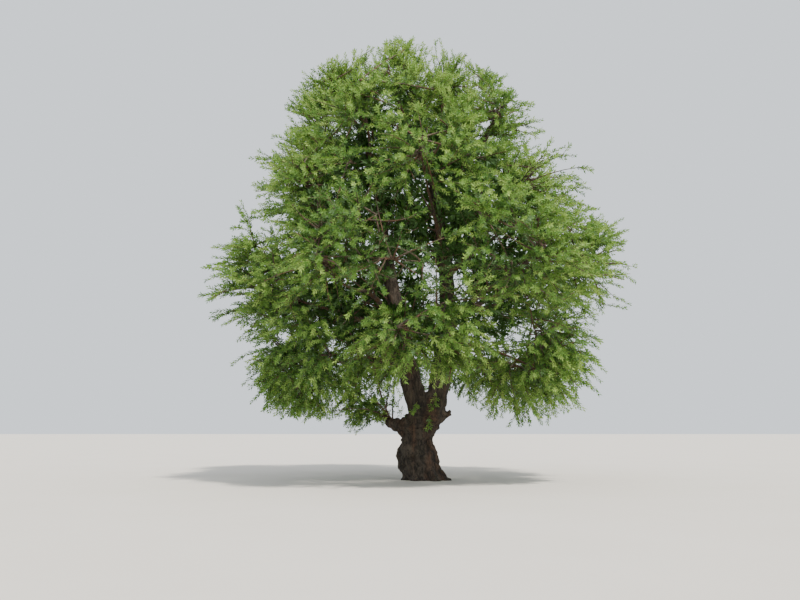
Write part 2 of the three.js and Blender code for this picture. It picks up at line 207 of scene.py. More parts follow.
def frames(paths: Array) -> tuple[Array, Array, Array]:
    """The directions along, across and above each path.

    Across is square to the path and to the axis that the path as a whole keeps furthest from, so the
    frame doesn't twist. Above is square to both.

    Args:
        paths: Points of each path, of shape (paths, steps, 3).

    Returns:
        Three arrays of unit vectors in the paths' shape.
    """
    along = unit(np.gradient(paths, axis=1))
    overall = unit(paths[:, -1] - paths[:, 0])
    helper = np.eye(3)[np.abs(overall).argmin(axis=1)]
    across = unit(np.cross(along, helper[:, None]))
    return along, across, np.cross(along, across)


def linked(name: str, data: bpy.types.ID) -> bpy.types.Object:
    """Makes an object of a mesh, lamp or camera, at the origin, and puts it into the scene."""
    made = bpy.data.objects.new(name, data)
    bpy.context.scene.collection.objects.link(made)
    return made


def finish_piece(mesh: bpy.types.Mesh, material: Material, nodes: list[str]) -> None:
    """Makes a mesh a finished piece of the part, of the same name, riding on the one body.

    Args:
        mesh: The mesh.
        material: Its material.
        nodes: The frame's nodes that it stands for.
    """
    mesh.materials.append(material)
    made = linked(mesh.name, mesh)
    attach(made, "root")
    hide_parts(*nodes)
    log.info("%s: %d triangles", made.name, len(mesh.loops) - 2 * len(mesh.polygons))


@dataclass
class Surface:
    """A triangle mesh as whole arrays: the corners' places, and rows of corner numbers."""

    points: Array
    faces: Array

    @staticmethod
    def joined(parts: list["Surface"]) -> "Surface":
        """Several surfaces as one, each part's corner numbers moved past those of the parts before it."""
        starts = np.cumsum([0] + [len(part.points) for part in parts[:-1]])
        faces = [part.faces + start for part, start in zip(parts, starts)]
        return Surface(np.concatenate([part.points for part in parts]), np.concatenate(faces))

    def mesh(self, name: str, is_smooth: bool = True) -> bpy.types.Mesh:
        """Puts the arrays into a Blender mesh.

        Args:
            name: The mesh's name.
            is_smooth: Whether its faces are shaded smooth.

        Returns:
            The mesh.
        """
        mesh = bpy.data.meshes.new(name)
        count = len(self.faces)
        mesh.vertices.add(len(self.points))
        mesh.vertices.foreach_set("co", self.points.astype(np.float32).ravel())
        mesh.loops.add(3 * count)
        mesh.loops.foreach_set("vertex_index", self.faces.astype(np.int32).ravel())
        mesh.polygons.add(count)
        mesh.polygons.foreach_set("loop_start", np.arange(0, 3 * count, 3, dtype=np.int32))
        mesh.polygons.foreach_set("use_smooth", np.full(count, is_smooth))
        mesh.update(calc_edges=True)
        return mesh


def rows_of(items: bpy.types.bpy_prop_collection, name: str, width: int, kind: type = float) -> Array:
    """Reads a property of all of a mesh's vertices or edges, as rows of a width and type."""
    values = np.empty(width * len(items), dtype=kind)
    items.foreach_get(name, values)
    return values.reshape(-1, width)


def grid_faces(rings: int, sides: int) -> Array:
    """Works out the triangles of a closed tube of rings, with a corner at each end.

    Corners run ring by ring, anticlockwise as seen from the last ring's end. Each square between two
    rings is two triangles, and a fan closes each end on the last two corners.

    Args:
        rings: How many rings.
        sides: How many corners a ring has.

    Returns:
        The triangles, as rows of corner numbers.
    """
    side = np.arange(sides)
    after = (side + 1) % sides
    base = (np.arange(rings - 1) * sides)[:, None]
    a, b = base + side, base + after
    walls = [np.stack([a, b, b + sides], -1), np.stack([a, b + sides, a + sides], -1)]
    first, last = rings * sides, rings * sides + 1
    top = (rings - 1) * sides
    fans = [
        np.stack([np.full(sides, first), after, side], -1),
        np.stack([np.full(sides, last), top + side, top + after], -1),
    ]
    return np.concatenate([part.reshape(-1, 3) for part in walls + fans])


def tubes(paths: Array, radii: Array, sides: int, relief: "BarkRelief | None" = None) -> Surface:
    """Round limbs along many paths at once, closed at both ends.

    A ring's corner is the path's point, plus the radius times (across times the cosine of the turn plus
    above times its sine). With a relief, the radius gains the relief at that place, more on thick limbs.

    Args:
        paths: Points of each path, of shape (paths, steps, 3).
        radii: The radius at each point, of shape (paths, steps).
        sides: How many corners a ring has.
        relief: The bark's relief, if the limb is thick enough to show it.

    Returns:
        All tubes as one surface.
    """
    along, across, above = frames(paths)
    turn = np.arange(sides) * (2.0 * np.pi / sides)
    spoke = across[:, :, None] * np.cos(turn)[:, None] + above[:, :, None] * np.sin(turn)[:, None]
    reach = np.repeat(radii[:, :, None], sides, axis=2)
    if relief is not None:
        places = paths[:, :, None] + spoke * reach[..., None]
        grain = np.broadcast_to(along[:, :, None], places.shape)
        reach = reach + relief.on_limb(places, grain, reach)
    rings = paths[:, :, None] + spoke * reach[..., None]
    count, steps = radii.shape
    corners = np.concatenate([rings.reshape(count, -1, 3), paths[:, :1], paths[:, -1:]], axis=1)
    starts = np.arange(count) * (steps * sides + 2)
    faces = grid_faces(steps, sides)[None] + starts[:, None, None]
    return Surface(corners.reshape(-1, 3), faces.reshape(-1, 3))


def curved_tubes(controls: list[Array], radii: Pair, steps: int, sides: int) -> Surface:
    """Round limbs along Bezier curves, one or many, their radius going evenly from the first to the last."""
    paths = bezier(controls, np.linspace(0.0, 1.0, steps)).reshape(-1, steps, 3)
    return tubes(paths, np.broadcast_to(np.linspace(*radii, steps), paths.shape[:2]), sides)


@dataclass(frozen=True)
class Tier:
    """A ring of masses of one size.

    The first one's direction, their height, how far right the ring's middle is, its radius, their half
    width and half height, and how much higher they are at the front and back and at the right.
    """

    name: str
    count: int
    first: float
    height: float
    middle: float
    ring: float
    wide: float
    tall: float
    lift: float = 0.0
    lean: float = 0.0


@dataclass
class Mass:
    """One mass of foliage: its place and half sizes, and where its limb enters it and heads."""

    name: str
    tier: str
    seed: int
    place: int
    azimuth: float
    centre: Array
    half: Array
    entry: Array = field(default_factory=lambda: np.zeros(3))
    heading: Array = field(default_factory=lambda: np.zeros(3))
    entry_radius: float = BOUGH_THIN

    def stem_end(self) -> Array:
        """Where its stem ends, a little past its middle."""
        return self.centre + self.heading * self.half[0] * STEM_PAST


@dataclass
class GrowthRule:
    """The source's rule for the masses: where each stands, and the space that is its own.

    The stray is in direction, radius and height. Search is how many steps find a mass's own reach, and
    joint how sharp the joint edge of neighbouring masses is.
    """

    tiers: tuple[Tier, ...] = (
        Tier("skirt", 6, 30, 3.05, -0.4, 3.75, 2.2, 1.6, lift=1.0),
        Tier("low", 7, -12, 5.75, -0.05, 4.85, 2.5, 1.85, lean=0.35),
        Tier("mid", 6, 27, 8.4, -0.12, 3.77, 2.35, 1.85),
        Tier("high", 4, 60, 10.65, -0.43, 2.88, 2.3, 1.75),
        Tier("top", 3, 30, 12.45, -1.0, 1.75, 2.15, 1.6, lift=-0.7),
        Tier("crest", 1, 0, 12.95, -0.52, 0.0, 1.6, 1.38),
        Tier("stub", 1, 0, 2.3, -1.85, 0.0, 1.1, 0.85),
    )
    stray: Triple = (7.0, 0.22, 0.2)
    seed_step: int = 11
    search: int = 24
    joint: float = 5.0
    least_share: float = 0.05
    masses: list[Mass] = field(init=False)
    centres: Array = field(init=False)
    halves: Array = field(init=False)

    def __post_init__(self) -> None:
        """Places every mass, tier by tier."""
        self.masses = [
            self.mass(level, tier, place)
            for level, tier in enumerate(self.tiers)
            for place in range(tier.count)
        ]
        self.centres = np.array([mass.centre for mass in self.masses])
        self.halves = np.array([mass.half for mass in self.masses])

    def mass(self, level: int, tier: Tier, place: int) -> Mass:
        """Places one mass.

        Its direction is the tier's first plus an equal share of the turn and a stray. Its height is the
        tier's, plus lift times the sine squared of the direction, plus lean times the cosine, and a stray.

        Args:
            level: The tier's number from below.
            tier: The tier.
            place: The mass's number in it.

        Returns:
            The mass.
        """
        seed = level * self.seed_step + place
        turn, out, up = (
            (2.0 * float(scatter(seed, step + 1)) - 1.0) * reach for step, reach in enumerate(self.stray)
        )
        azimuth = math.radians(tier.first + 360.0 * place / tier.count + turn)
        ring = tier.ring + out if tier.ring > 0.0 else 0.0
        rise = tier.lift * math.sin(azimuth) ** 2 + tier.lean * math.cos(azimuth)
        rise += up if tier.ring > 0.0 else 0.0
        centre = [tier.middle + ring * math.cos(azimuth), ring * math.sin(azimuth), tier.height + rise]
        half = np.array([tier.wide, tier.wide, tier.tall])
        return Mass(f"{tier.name}_{place + 1}", tier.name, seed, place, azimuth, np.array(centre), half)

    def named(self, name: str) -> Mass:
        """The mass with a name."""
        return next(mass for mass in self.masses if mass.name == name)

    def shares(self, points: Array) -> Array:
        """How far points are from every mass's middle, as shares of its half sizes: (..., masses)."""
        return norm((points[..., None, :] - self.centres) / self.halves, axis=-1)

    def joint_share(self, points: Array) -> Array:
        """How far points are from the nearest masses' middles, with the notches between masses filled.

        The masses' shares are each raised to the power of minus the joint's sharpness and summed, and the
        sum is raised to the power of minus one over it. It comes to 1 at the crown's edge.
        """
        near = np.maximum(self.shares(points), self.least_share)
        return (near**-self.joint).sum(axis=-1) ** (-1.0 / self.joint)

    def reach(self, mass: Mass, directions: Array, limits: Array) -> Array:
        """How far out a mass's own space goes.

        A place is a mass's own if its share is at most 1 and every other mass's share there is larger by
        more than the margin. Equal steps down from the limit are tried.

        Args:
            mass: The mass.
            directions: Unit directions from its middle, one a row.
            limits: The largest share to try in each.

        Returns:
            The furthest own share in each direction, or 0.
        """
        index = self.masses.index(mass)
        tried = limits[:, None] * (np.arange(self.search, 0, -1) / self.search)
        points = mass.centre + directions[:, None] * mass.half * tried[..., None]
        others = np.delete(self.shares(points), index, axis=-1).min(axis=-1)
        return (tried * ((tried <= 1.0) & (others > tried + CELL_MARGIN))).max(axis=1)

    def enter(self, mass: Mass, origin: Array, radius: float) -> None:
        """Sets where a limb from an origin enters a mass, with its heading and radius there."""
        back = unit((origin - mass.centre) / mass.half)
        share = self.reach(mass, back[None], np.ones(1))[0] * ENTRY_SHARE
        mass.entry = mass.centre + back * mass.half * share
        mass.heading = unit(mass.centre - mass.entry)
        mass.entry_radius = radius


@dataclass(frozen=True)
class BarkRelief:
    """How old bark stands out: broad flutes, and fissures between plates, along the grain.

    A furrow has its part of the whole, and the valley depths that it starts and ends at. A limb's flutes
    are as wide as a share of its radius, and its plates as a share of the flutes.
    """

    flute_width: float = 0.34
    flute_depth: float = 0.075
    flute_furrow: Triple = (0.65, 0.2, 0.48)
    plate_width: float = 0.085
    plate_depth: float = 0.02
    plate_furrow: Triple = (0.35, 0.1, 0.5)
    trunk_seeds: tuple[int, int] = (3, 11)
    stretch: float = 5.0
    limb_share: float = 0.16
    limb_parts: Pair = (0.7, 0.3)
    limb_widths: Pair = (0.55, 0.35)
    limb_least: Pair = (0.03, 0.02)
    limb_seeds: tuple[int, int] = (5, 7)

    def squeezed(self, places: Array, grain: Array, width: float) -> Array:
        """Places in cells of a width, with their part along the grain divided by the stretch."""
        along = (places * grain).sum(axis=-1, keepdims=True)
        return (places - grain * along * (1.0 - 1.0 / self.stretch)) / width

    def billow(self, places: Array, grain: Array, width: float, seed: int) -> Array:
        """Rounded ridges with sharp valleys: twice the noise's distance from nought, less a half."""
        return 2.0 * np.abs(value_noise(self.squeezed(places, grain, width), seed)) - 0.5

    def on_trunk(self, places: Array, grain: Array) -> tuple[Array, Array]:
        """The trunk's relief.

        The offset is the flutes' ridges times their depth, plus the plates' ridges times theirs.

        Args:
            places: Places on the trunk.
            grain: The grain's unit direction there.

        Returns:
            The outward offset, and how deep in a furrow each place is, from 0 to 1.
        """
        flutes = self.billow(places, grain, self.flute_width, self.trunk_seeds[0])
        plates = self.billow(places, grain, self.plate_width, self.trunk_seeds[1])
        offset = flutes * self.flute_depth + plates * self.plate_depth
        flute_part, *flute_ramp = self.flute_furrow
        plate_part, *plate_ramp = self.plate_furrow
        return offset, plate_part * smooth(-plates, *plate_ramp) + flute_part * smooth(-flutes, *flute_ramp)

    def on_limb(self, places: Array, grain: Array, reach: Array) -> Array:
        """A limb's relief: the trunk's ridges at widths and depths that go with the limb's radius.

        Args:
            places: Places on the limb.
            grain: The grain's unit direction there.
            reach: The limb's radius there.

        Returns:
            The outward offset at each place.
        """
        wide = max(self.limb_widths[0] * float(reach.max()), self.limb_least[0])
        narrow = max(self.limb_widths[1] * wide, self.limb_least[1])
        flutes = self.billow(places, grain, wide, self.limb_seeds[0])
        plates = self.billow(places, grain, narrow, self.limb_seeds[1])
        return reach * self.limb_share * (self.limb_parts[0] * flutes + self.limb_parts[1] * plates)


@dataclass(frozen=True)
class Arm:
    """A straight, tapering limb of the trunk."""

    start: Triple
    end: Triple
    thick: float
    thin: float

    def path(self, count: int) -> Array:
        """Evenly spaced points from its start to its end."""
        return mix(np.array(self.start), np.array(self.end), np.linspace(0.0, 1.0, count)[:, None])

    def radii(self, count: int) -> Array:
        """The radii that go with the path's points."""
        return np.linspace(self.thick, self.thin, count)


@dataclass(frozen=True)
class Limb:
    """A leader or a bough along a cubic curve."""

    name: str
    controls: tuple[Array, Array, Array, Array]
    thick: float
    thin: float
    steps: int = 400
    height_steps: int = 2000

    def path(self, count: int) -> Array:
        """Points at equal distances along the curve."""
        return evenly(bezier(list(self.controls), np.linspace(0.0, 1.0, self.steps)), count)

    def radii(self, count: int) -> Array:
        """The radii that go with the path's points."""
        return np.linspace(self.thick, self.thin, count)

    def point_at_height(self, height: float) -> Array:
        """The curve's point at a height, for a curve that rises all the way."""
        points = bezier(list(self.controls), np.linspace(0.0, 1.0, self.height_steps))
        place = np.interp(height, points[:, 2], np.arange(len(points)))
        return points[int(place)]


@dataclass(frozen=True)
class SoftSpot:
    """Something that fades softly away round a place, with a size along each axis.

    On the trunk it is a burl, or a pit where its strength is below 0, and in the crown a hollow.
    """

    place: Triple
    size: Triple
    strength: float

    def at(self, points: Array) -> Array:
        """The strength times e to the power of minus the squared distance, counted in sizes."""
        away = (points - np.array(self.place)) / np.array(self.size)
        return self.strength * np.exp(-(away**2).sum(axis=-1))


def strength_at(spots: tuple[SoftSpot, ...], points: Array) -> Array:
    """The sum of soft spots at points."""
    return sum(spot.at(points) for spot in spots)


@dataclass
class Skeleton:
    """The leaders and boughs, planned by the source's rule, as limbs with bark relief.

    A bend has a leader's two inner control points and the mass that it enters. A drop has, for a tier,
    how far below its mass a bough starts, its least start above the fork, and its radius there. A bough
    bows out, up and back by shares of its length, and starts wider by the collar, over its length. A foot
    is a leader's plain end inside its fork arm.
    """

    rule: GrowthRule
    arms: dict[Side, Arm] = field(
        default_factory=lambda: {
            Side.LEFT: Arm((0.02, 0.0, 1.55), (-0.39, 0.0, 2.95), 0.39, 0.285),
            Side.RIGHT: Arm((0.19, 0.02, 1.55), (0.52, 0.04, 2.99), 0.4, 0.3),
        }
    )
    bends: dict[Side, tuple[list[float], list[float], str]] = field(
        default_factory=lambda: {
            Side.LEFT: ([-1.0, 0.06, 5.6], [-1.15, 0.1, 9.3], "top_2"),
            Side.RIGHT: ([0.93, 0.12, 5.7], [0.42, 0.15, 9.3], "crest_1"),
        }
    )
    leader_thin: float = 0.062
    drops: dict[str, Triple] = field(
        default_factory=lambda: {
            "skirt": (1.5, 0.15, 0.105),
            "low": (1.45, 0.95, 0.125),
            "mid": (2.3, 0.0, 0.105),
            "high": (2.2, 0.0, 0.082),
            "top": (2.3, 0.0, 0.062),
            "stub": (0.0, 0.0, 0.075),
        }
    )
    stub_start: Triple = (-0.7, -0.085, 1.6)
    stagger: float = 0.21
    stagger_cycle: int = 3
    bow: Triple = (0.28, 0.16, 0.2)
    leader_sides: int = 30
    leader_steps: int = 270
    bough_sides: int = 12
    bough_steps: int = 46
    collar: Pair = (0.5, 0.3)
    foot: Pair = (0.3, 0.03)
    foot_steps: int = 10
    foot_thinner: float = 0.05
    wander_width: float = 0.9
    wander_share: float = 0.55
    wander_seeds: tuple[int, int] = (31, 50)
    sample_steps: int = 40
    relief: BarkRelief = BarkRelief()
    leaders: dict[Side, Limb] = field(init=False)
    boughs: list[Limb] = field(init=False)

    def __post_init__(self) -> None:
        """Plans the leaders first, and then a bough to every mass that no leader enters."""
        self.leaders = {side: self.leader(side) for side in Side}
        carried = [self.bends[side][2] for side in Side]
        self.boughs = [self.bough(mass) for mass in self.rule.masses if mass.name not in carried]

    def leader(self, side: Side) -> Limb:
        """Plans a leader: on straight from its fork arm, through a bend, and up to its mass at the top.

        Args:
            side: The side that it forks to.

        Returns:
            The leader.
        """
        arm = self.arms[side]
        bend, rise, name = self.bends[side]
        heading = unit(np.array(arm.end) - np.array(arm.start))
        start = np.array(arm.end) + heading * SEAM
        mass = self.rule.named(name)
        self.rule.enter(mass, np.array(rise), self.leader_thin)
        onward = start + heading * norm(start - np.array(bend))
        controls = (start, onward, np.array(rise), mass.entry)
        return Limb(f"leader_{side.value}", controls, arm.thin, self.leader_thin)

    def bough(self, mass: Mass) -> Limb:
        """Plans a bough.

        It leaves its leader at the mass's height less the drop, but no lower than the least height above
        the fork, bows out and up by shares of its length, and ends heading for the mass's middle.

        Args:
            mass: The mass that it carries.

        Returns:
            The bough.
        """
        drop, least, thick = self.drops[mass.tier]
        parent = self.leaders[Side.RIGHT if math.cos(mass.azimuth) > 0.0 else Side.LEFT]
        lowest = parent.controls[0][2] + least + self.stagger * (mass.place % self.stagger_cycle)
        start = parent.point_at_height(max(mass.centre[2] - drop, lowest))
        if mass.tier == "stub":
            start = np.array(self.stub_start)
        outward = unit(flattened(mass.centre - start, 0.0))
        length = norm(mass.centre - start)
        bow = start + outward * length * self.bow[0] + UP * length * self.bow[1]
        self.rule.enter(mass, bow, BOUGH_THIN)
        turn = mass.entry - mass.heading * length * self.bow[2]
        return Limb(f"bough_{mass.name}", (start, bow, turn, mass.entry), thick, BOUGH_THIN)

    def wander(self, path: Array, radius: float, seed: int) -> Array:
        """A path that strays by noise, by up to a share of its radius, but not at its ends."""
        share = np.sin(np.pi * np.linspace(0.0, 1.0, len(path)))[:, None]
        steps = [value_noise(path / self.wander_width, seed + axis) for axis in range(3)]
        return path + np.stack(steps, axis=1) * share * radius * self.wander_share

    def leader_surface(self, limb: Limb) -> Surface:
        """Makes a leader's surface, from its foot inside the fork arm to its mass.

        Args:
            limb: The leader.

        Returns:
            The surface.
        """
        path = limb.path(self.leader_steps)
        heading = unit(path[1] - path[0])
        foot = path[0] - heading * np.linspace(*self.foot, self.foot_steps)[:, None]
        path = np.concatenate([foot, self.wander(path, limb.thin, self.wander_seeds[0])])
        foot_radii = np.full(self.foot_steps, limb.thick - self.foot_thinner)
        radii = np.concatenate([foot_radii, limb.radii(self.leader_steps)])
        return tubes(path[None], radii[None], self.leader_sides, self.relief)

    def bough_surfaces(self) -> Surface:
        """Makes the boughs' surfaces, each thinning evenly from the collar where it leaves its leader.

        The collar is a factor, 1 plus its height times e to the power of minus the distance.

        Returns:
            All boughs as one surface.
        """
        parts = []
        swell, fade = self.collar
        for number, limb in enumerate(self.boughs):
            path = self.wander(limb.path(self.bough_steps), limb.thick, self.wander_seeds[1] + number)
            run = np.linspace(0.0, 1.0, self.bough_steps) * norm(path[-1] - path[0])
            radii = limb.radii(self.bough_steps) * (1.0 + swell * np.exp(-run / fade))
            parts.append(tubes(path[None], radii[None], self.bough_sides, self.relief))
        return Surface.joined(parts)

    def samples(self) -> tuple[Array, Array]:
        """Points down the middle of every leader and bough, and the radius there."""
        limbs = list(self.leaders.values()) + self.boughs
        points = np.concatenate([limb.path(self.sample_steps) for limb in limbs])
        return points, np.concatenate([limb.radii(self.sample_steps) for limb in limbs])

    def build(self, bark: Material, bough_bark: Material) -> None:
        """Makes the leaders' pieces and the boughs' piece, each with its material."""
        for limb in self.leaders.values():
            mesh = self.leader_surface(limb).mesh(f"{limb.name}_bark")
            finish_piece(mesh, bark, [limb.name])
        names = [limb.name for limb in self.boughs]
        finish_piece(self.bough_surfaces().mesh("boughs_bark"), bough_bark, names)


@dataclass
class Trunk:
    """The trunk: its ribbed column with root lobes, the fork arms and stubs, and all the bark's relief.

    A station is a height, how far right the column's middle is there, and its half width. A rib is a
    count, a depth and a direction, and a lobe a direction, a reach and a width in degrees. An arm swells
    from a thin root inside the column. In calm spots, where grains meet, the relief is softened away.
    """

    skeleton: Skeleton
    stations: tuple[Triple, ...] = (
        (0.0, 0.04, 0.45),
        (0.42, -0.09, 0.54),
        (0.78, -0.165, 0.56),
        (1.15, -0.205, 0.425),
        (1.52, -0.09, 0.47),
        (1.95, 0.12, 0.52),
        (2.3, 0.15, 0.48),
        (2.62, 0.09, 0.2),
    )
    ribs: tuple[tuple[int, float, float], ...] = ((2, 0.04, 20.0), (3, 0.06, 200.0), (5, 0.05, 65.0))
    rib_twist: float = 20.0
    lobes: tuple[Triple, ...] = (
        (352.0, 0.33, 20.0),
        (62.0, 0.23, 20.0),
        (128.0, 0.3, 22.0),
        (190.0, 0.17, 20.0),
        (243.0, 0.25, 18.0),
        (300.0, 0.3, 20.0),
    )
    root_height: float = 0.24
    root_fall: float = 1.2
    depth: float = 0.88
    stubs: tuple[Arm, ...] = (
        Arm((-0.12, -0.04, 1.42), (-1.09, -0.12, 1.7), 0.33, 0.07),
        Arm((0.16, -0.02, 1.62), (0.8, -0.06, 1.97), 0.25, 0.08),
    )
    webs: tuple[Arm, ...] = (
        Arm((-0.05, -0.03, 1.9), (-0.75, -0.1, 1.68), 0.22, 0.08),
        Arm((-0.3, -0.05, 1.22), (-0.98, -0.11, 1.62), 0.2, 0.06),
    )
    features: tuple[SoftSpot, ...] = (
        SoftSpot((0.43, -0.42, 2.4), (0.11, 0.3, 0.22), -0.13),
        SoftSpot((-0.4, -0.5, 1.18), (0.05, 0.3, 0.28), -0.07),
        SoftSpot((-0.1, -0.5, 0.62), (0.3, 0.3, 0.035), -0.035),
        SoftSpot((-0.2, -0.5, 0.42), (0.25, 0.3, 0.03), -0.03),
        SoftSpot((0.1, -0.5, 0.86), (0.22, 0.3, 0.03), -0.03),
        SoftSpot((-0.5, -0.35, 0.8), (0.16, 0.16, 0.14), 0.06),
        SoftSpot((0.2, -0.5, 1.85), (0.14, 0.2, 0.12), 0.07),
        SoftSpot((-0.1, -0.45, 2.15), (0.12, 0.2, 0.16), 0.05),
        SoftSpot((0.0, 0.5, 1.7), (0.16, 0.2, 0.16), 0.07),
        SoftSpot((0.12, 0.0, 2.95), (0.15, 0.6, 0.45), -0.07),
        SoftSpot((0.12, -0.5, 1.25), (0.07, 0.3, 0.4), -0.05),
    )
    calm: tuple[SoftSpot, ...] = (
        SoftSpot((0.5, 0.05, 1.5), (0.2, 0.3, 0.17), 1.3),
        SoftSpot((-0.82, -0.1, 1.5), (0.2, 0.25, 0.16), 0.9),
    )
    soft_rounds: tuple[int, int, int] = (9, 3, 30)
    voxel: float = 0.018
    column_foot: float = -0.08
    column_grid: tuple[int, int] = (160, 130)
    arm_grid: tuple[int, int] = (24, 48)
    arm_swell: Pair = (0.64, 0.5)
    arm_root: Pair = (0.6, 0.06)
    arm_root_thick: Pair = (0.25, 0.62)
    arm_root_steps: int = 8
    web_grid: tuple[int, int] = (16, 32)
    leader_part: tuple[int, int] = (16, 120)
    leader_step: Pair = (0.012, -0.06)
    lean_step: float = 0.02
    column_fade: Pair = (1.5, 2.3)
    column_least: float = 1e-3
    arm_grain_from: float = 0.1
    stub_grain_from: float = 0.5
    grain_over: float = 0.4
    grain_past: float = 0.6
    grain_fade: float = 0.1
    # How much painted shade the pits get in the bark's colour.
    pit_shade: float = 4.0
    relief: BarkRelief = BarkRelief()

    def eased(self, column: int, heights: Array) -> Array:
        """A station value at each height, eased by half a cosine wave from station to station."""
        table = np.array(self.stations)
        above = np.clip(np.searchsorted(table[:, 0], heights, side="right"), 1, len(table) - 1)
        low, high = table[above - 1], table[above]
        share = np.clip((heights - low[..., 0]) / (high[..., 0] - low[..., 0]), 0.0, 1.0)
        return mix(low[..., column], high[..., column], (1.0 - np.cos(np.pi * share)) / 2.0)

    def radius(self, azimuth: Array, heights: Array) -> Array:
        """The trunk's radius.

        It is the half width times one plus the ribs' cosines, plus each root lobe's reach times e to the
        power of minus the squared angle from it, all fading with height as e to minus a power of it.

        Args:
            azimuth: Directions in degrees.
            heights: Heights.

        Returns:
            The radius in each direction at each height.
        """
        ribs = sum(
            depth * np.cos(count * np.radians(azimuth - start + heights * self.rib_twist))
            for count, depth, start in self.ribs
        )
        away = [(azimuth - lobe[0] + 540.0) % 360.0 - 180.0 for lobe in self.lobes]
        roots = sum(lobe[1] * np.exp(-((turn / lobe[2]) ** 2)) for turn, lobe in zip(away, self.lobes))
        fade = np.exp(-((np.maximum(heights, 0.0) / self.root_height) ** self.root_fall))
        return self.eased(2, heights) * (1.0 + ribs) + roots * fade

    def column(self) -> Surface:
        """Makes the column's closed surface, ring by ring, from a little below the ground cut to its top.

        Returns:
            The surface.
        """
        sides, rings = self.column_grid
        heights = np.linspace(self.column_foot, self.stations[-1][0], rings)[:, None]
        azimuth = np.linspace(0.0, 360.0, sides, endpoint=False)[None]
        reach = self.radius(azimuth, heights)
        middle = np.broadcast_to(self.eased(1, heights), reach.shape)
        x = middle + reach * np.cos(np.radians(azimuth))
        y = reach * self.depth * np.sin(np.radians(azimuth))
        corners = np.stack([x, y, np.broadcast_to(heights, reach.shape)], -1).reshape(-1, 3)
        ends = [[self.stations[end][1], 0.0, heights[end, 0]] for end in (0, -1)]
        return Surface(np.concatenate([corners, ends]), grid_faces(rings, sides))

    def rough(self) -> Surface:
        """The column, arms, stubs and the leaders' feet, each closed and run into the next.

        Returns:
            All of them as one surface.
        """
        parts = [self.column()]
        steps, sides = self.arm_grid
        least, over = self.arm_swell
        for arm in self.skeleton.arms.values():
            path = arm.path(steps)
            run = norm(path - path[0], axis=1)
            radii = arm.radii(steps) * mix(least, 1.0, smooth(run, 0.0, over))
            back = np.linspace(*self.arm_root, self.arm_root_steps)[:, None]
            root = path[0] - unit(path[1] - path[0]) * back
            root_radii = np.linspace(*self.arm_root_thick, self.arm_root_steps) * arm.thick
            path, radii = np.concatenate([root, path]), np.concatenate([root_radii, radii])
            parts.append(tubes(path[None], radii[None], sides))
        for limbs, grid in ((self.stubs, self.arm_grid), (self.webs, self.web_grid)):
            parts += [tubes(limb.path(grid[0])[None], limb.radii(grid[0])[None], grid[1]) for limb in limbs]
        count, whole = self.leader_part
        step = mix(*self.leader_step, np.linspace(0.0, 1.0, count))
        for limb in self.skeleton.leaders.values():
            path, radii = limb.path(whole)[:count], limb.radii(whole)[:count] + step
            parts.append(tubes(path[None], radii[None], sides))
        return Surface.joined(parts)

    def grain(self, points: Array) -> Array:
        """The grain's direction: the axes of the column, arms and stubs, weighed by how near each is.

        A limb's weight is e to the power of minus its squared distance beyond its own radius, in tenths of
        a metre. The column leans as its middle line does, and its weight fades above the fork.

        Args:
            points: Places on the trunk.

        Returns:
            Unit directions.
        """
        height, step = points[:, 2], self.lean_step
        lean = (self.eased(1, height + step) - self.eased(1, height - step)) / (2.0 * step)
        level = np.zeros(len(points))
        around = np.stack([-points[:, 1], points[:, 0] - self.eased(1, height), level], -1)
        axis = np.stack([lean, level, np.ones(len(points))], -1)
        weight = self.column_least + 1.0 - smooth(height, *self.column_fade)
        total = unit(axis - math.radians(self.rib_twist) * around) * weight[:, None]
        limbs = [(arm, self.arm_grain_from) for arm in self.skeleton.arms.values()]
        for limb, out in limbs + [(stub, self.stub_grain_from) for stub in self.stubs]:
            start, end = np.array(limb.start), np.array(limb.end)
            along, length = unit(end - start), norm(end - start)
            run = np.clip((points - start) @ along, 0.0, length + self.grain_past)
            away = norm(points - start - run[:, None] * along, axis=1)
            beyond = np.maximum(away - mix(limb.thick, limb.thin, run / length), 0.0)
            weight = np.exp(-((beyond / self.grain_fade) ** 2)) * smooth(run, out, out + self.grain_over)
            total = total + along * weight[:, None]
        return unit(total)

    def remeshed(self, surface: Surface) -> bpy.types.Mesh:
        """Puts one even skin round overlapping surfaces, by Blender's voxel remesh.

        Args:
            surface: The surfaces.

        Returns:
            The skin.
        """
        rough = linked("trunk_rough", surface.mesh("trunk_rough"))
        skin = rough.modifiers.new("skin", "REMESH")
        skin.mode = "VOXEL"
        skin.voxel_size = self.voxel
        skin.adaptivity = 0.0
        skin.use_smooth_shade = True
        depsgraph = bpy.context.evaluated_depsgraph_get()
        mesh = bpy.data.meshes.new_from_object(rough.evaluated_get(depsgraph))
        mesh.name = "trunk_bark"
        bpy.data.objects.remove(rough)
        return mesh

    @staticmethod
    def softened(points: Array, edges: Array, rounds: int) -> Array:
        """Moves points halfway to the mean of their neighbours, again and again.

        Args:
            points: The points.
            edges: The pairs of neighbours.
            rounds: How often they are moved.

        Returns:
            The points, moved.
        """
        ends = np.concatenate([edges, edges[:, ::-1]])
        count = np.bincount(ends[:, 0], minlength=len(points)).astype(float)
        for _ in range(rounds):
            sums = [np.bincount(ends[:, 0], points[ends[:, 1], axis], len(points)) for axis in range(3)]
            points = 0.5 * points + 0.5 * np.stack(sums, axis=1) / count[:, None]
        return points

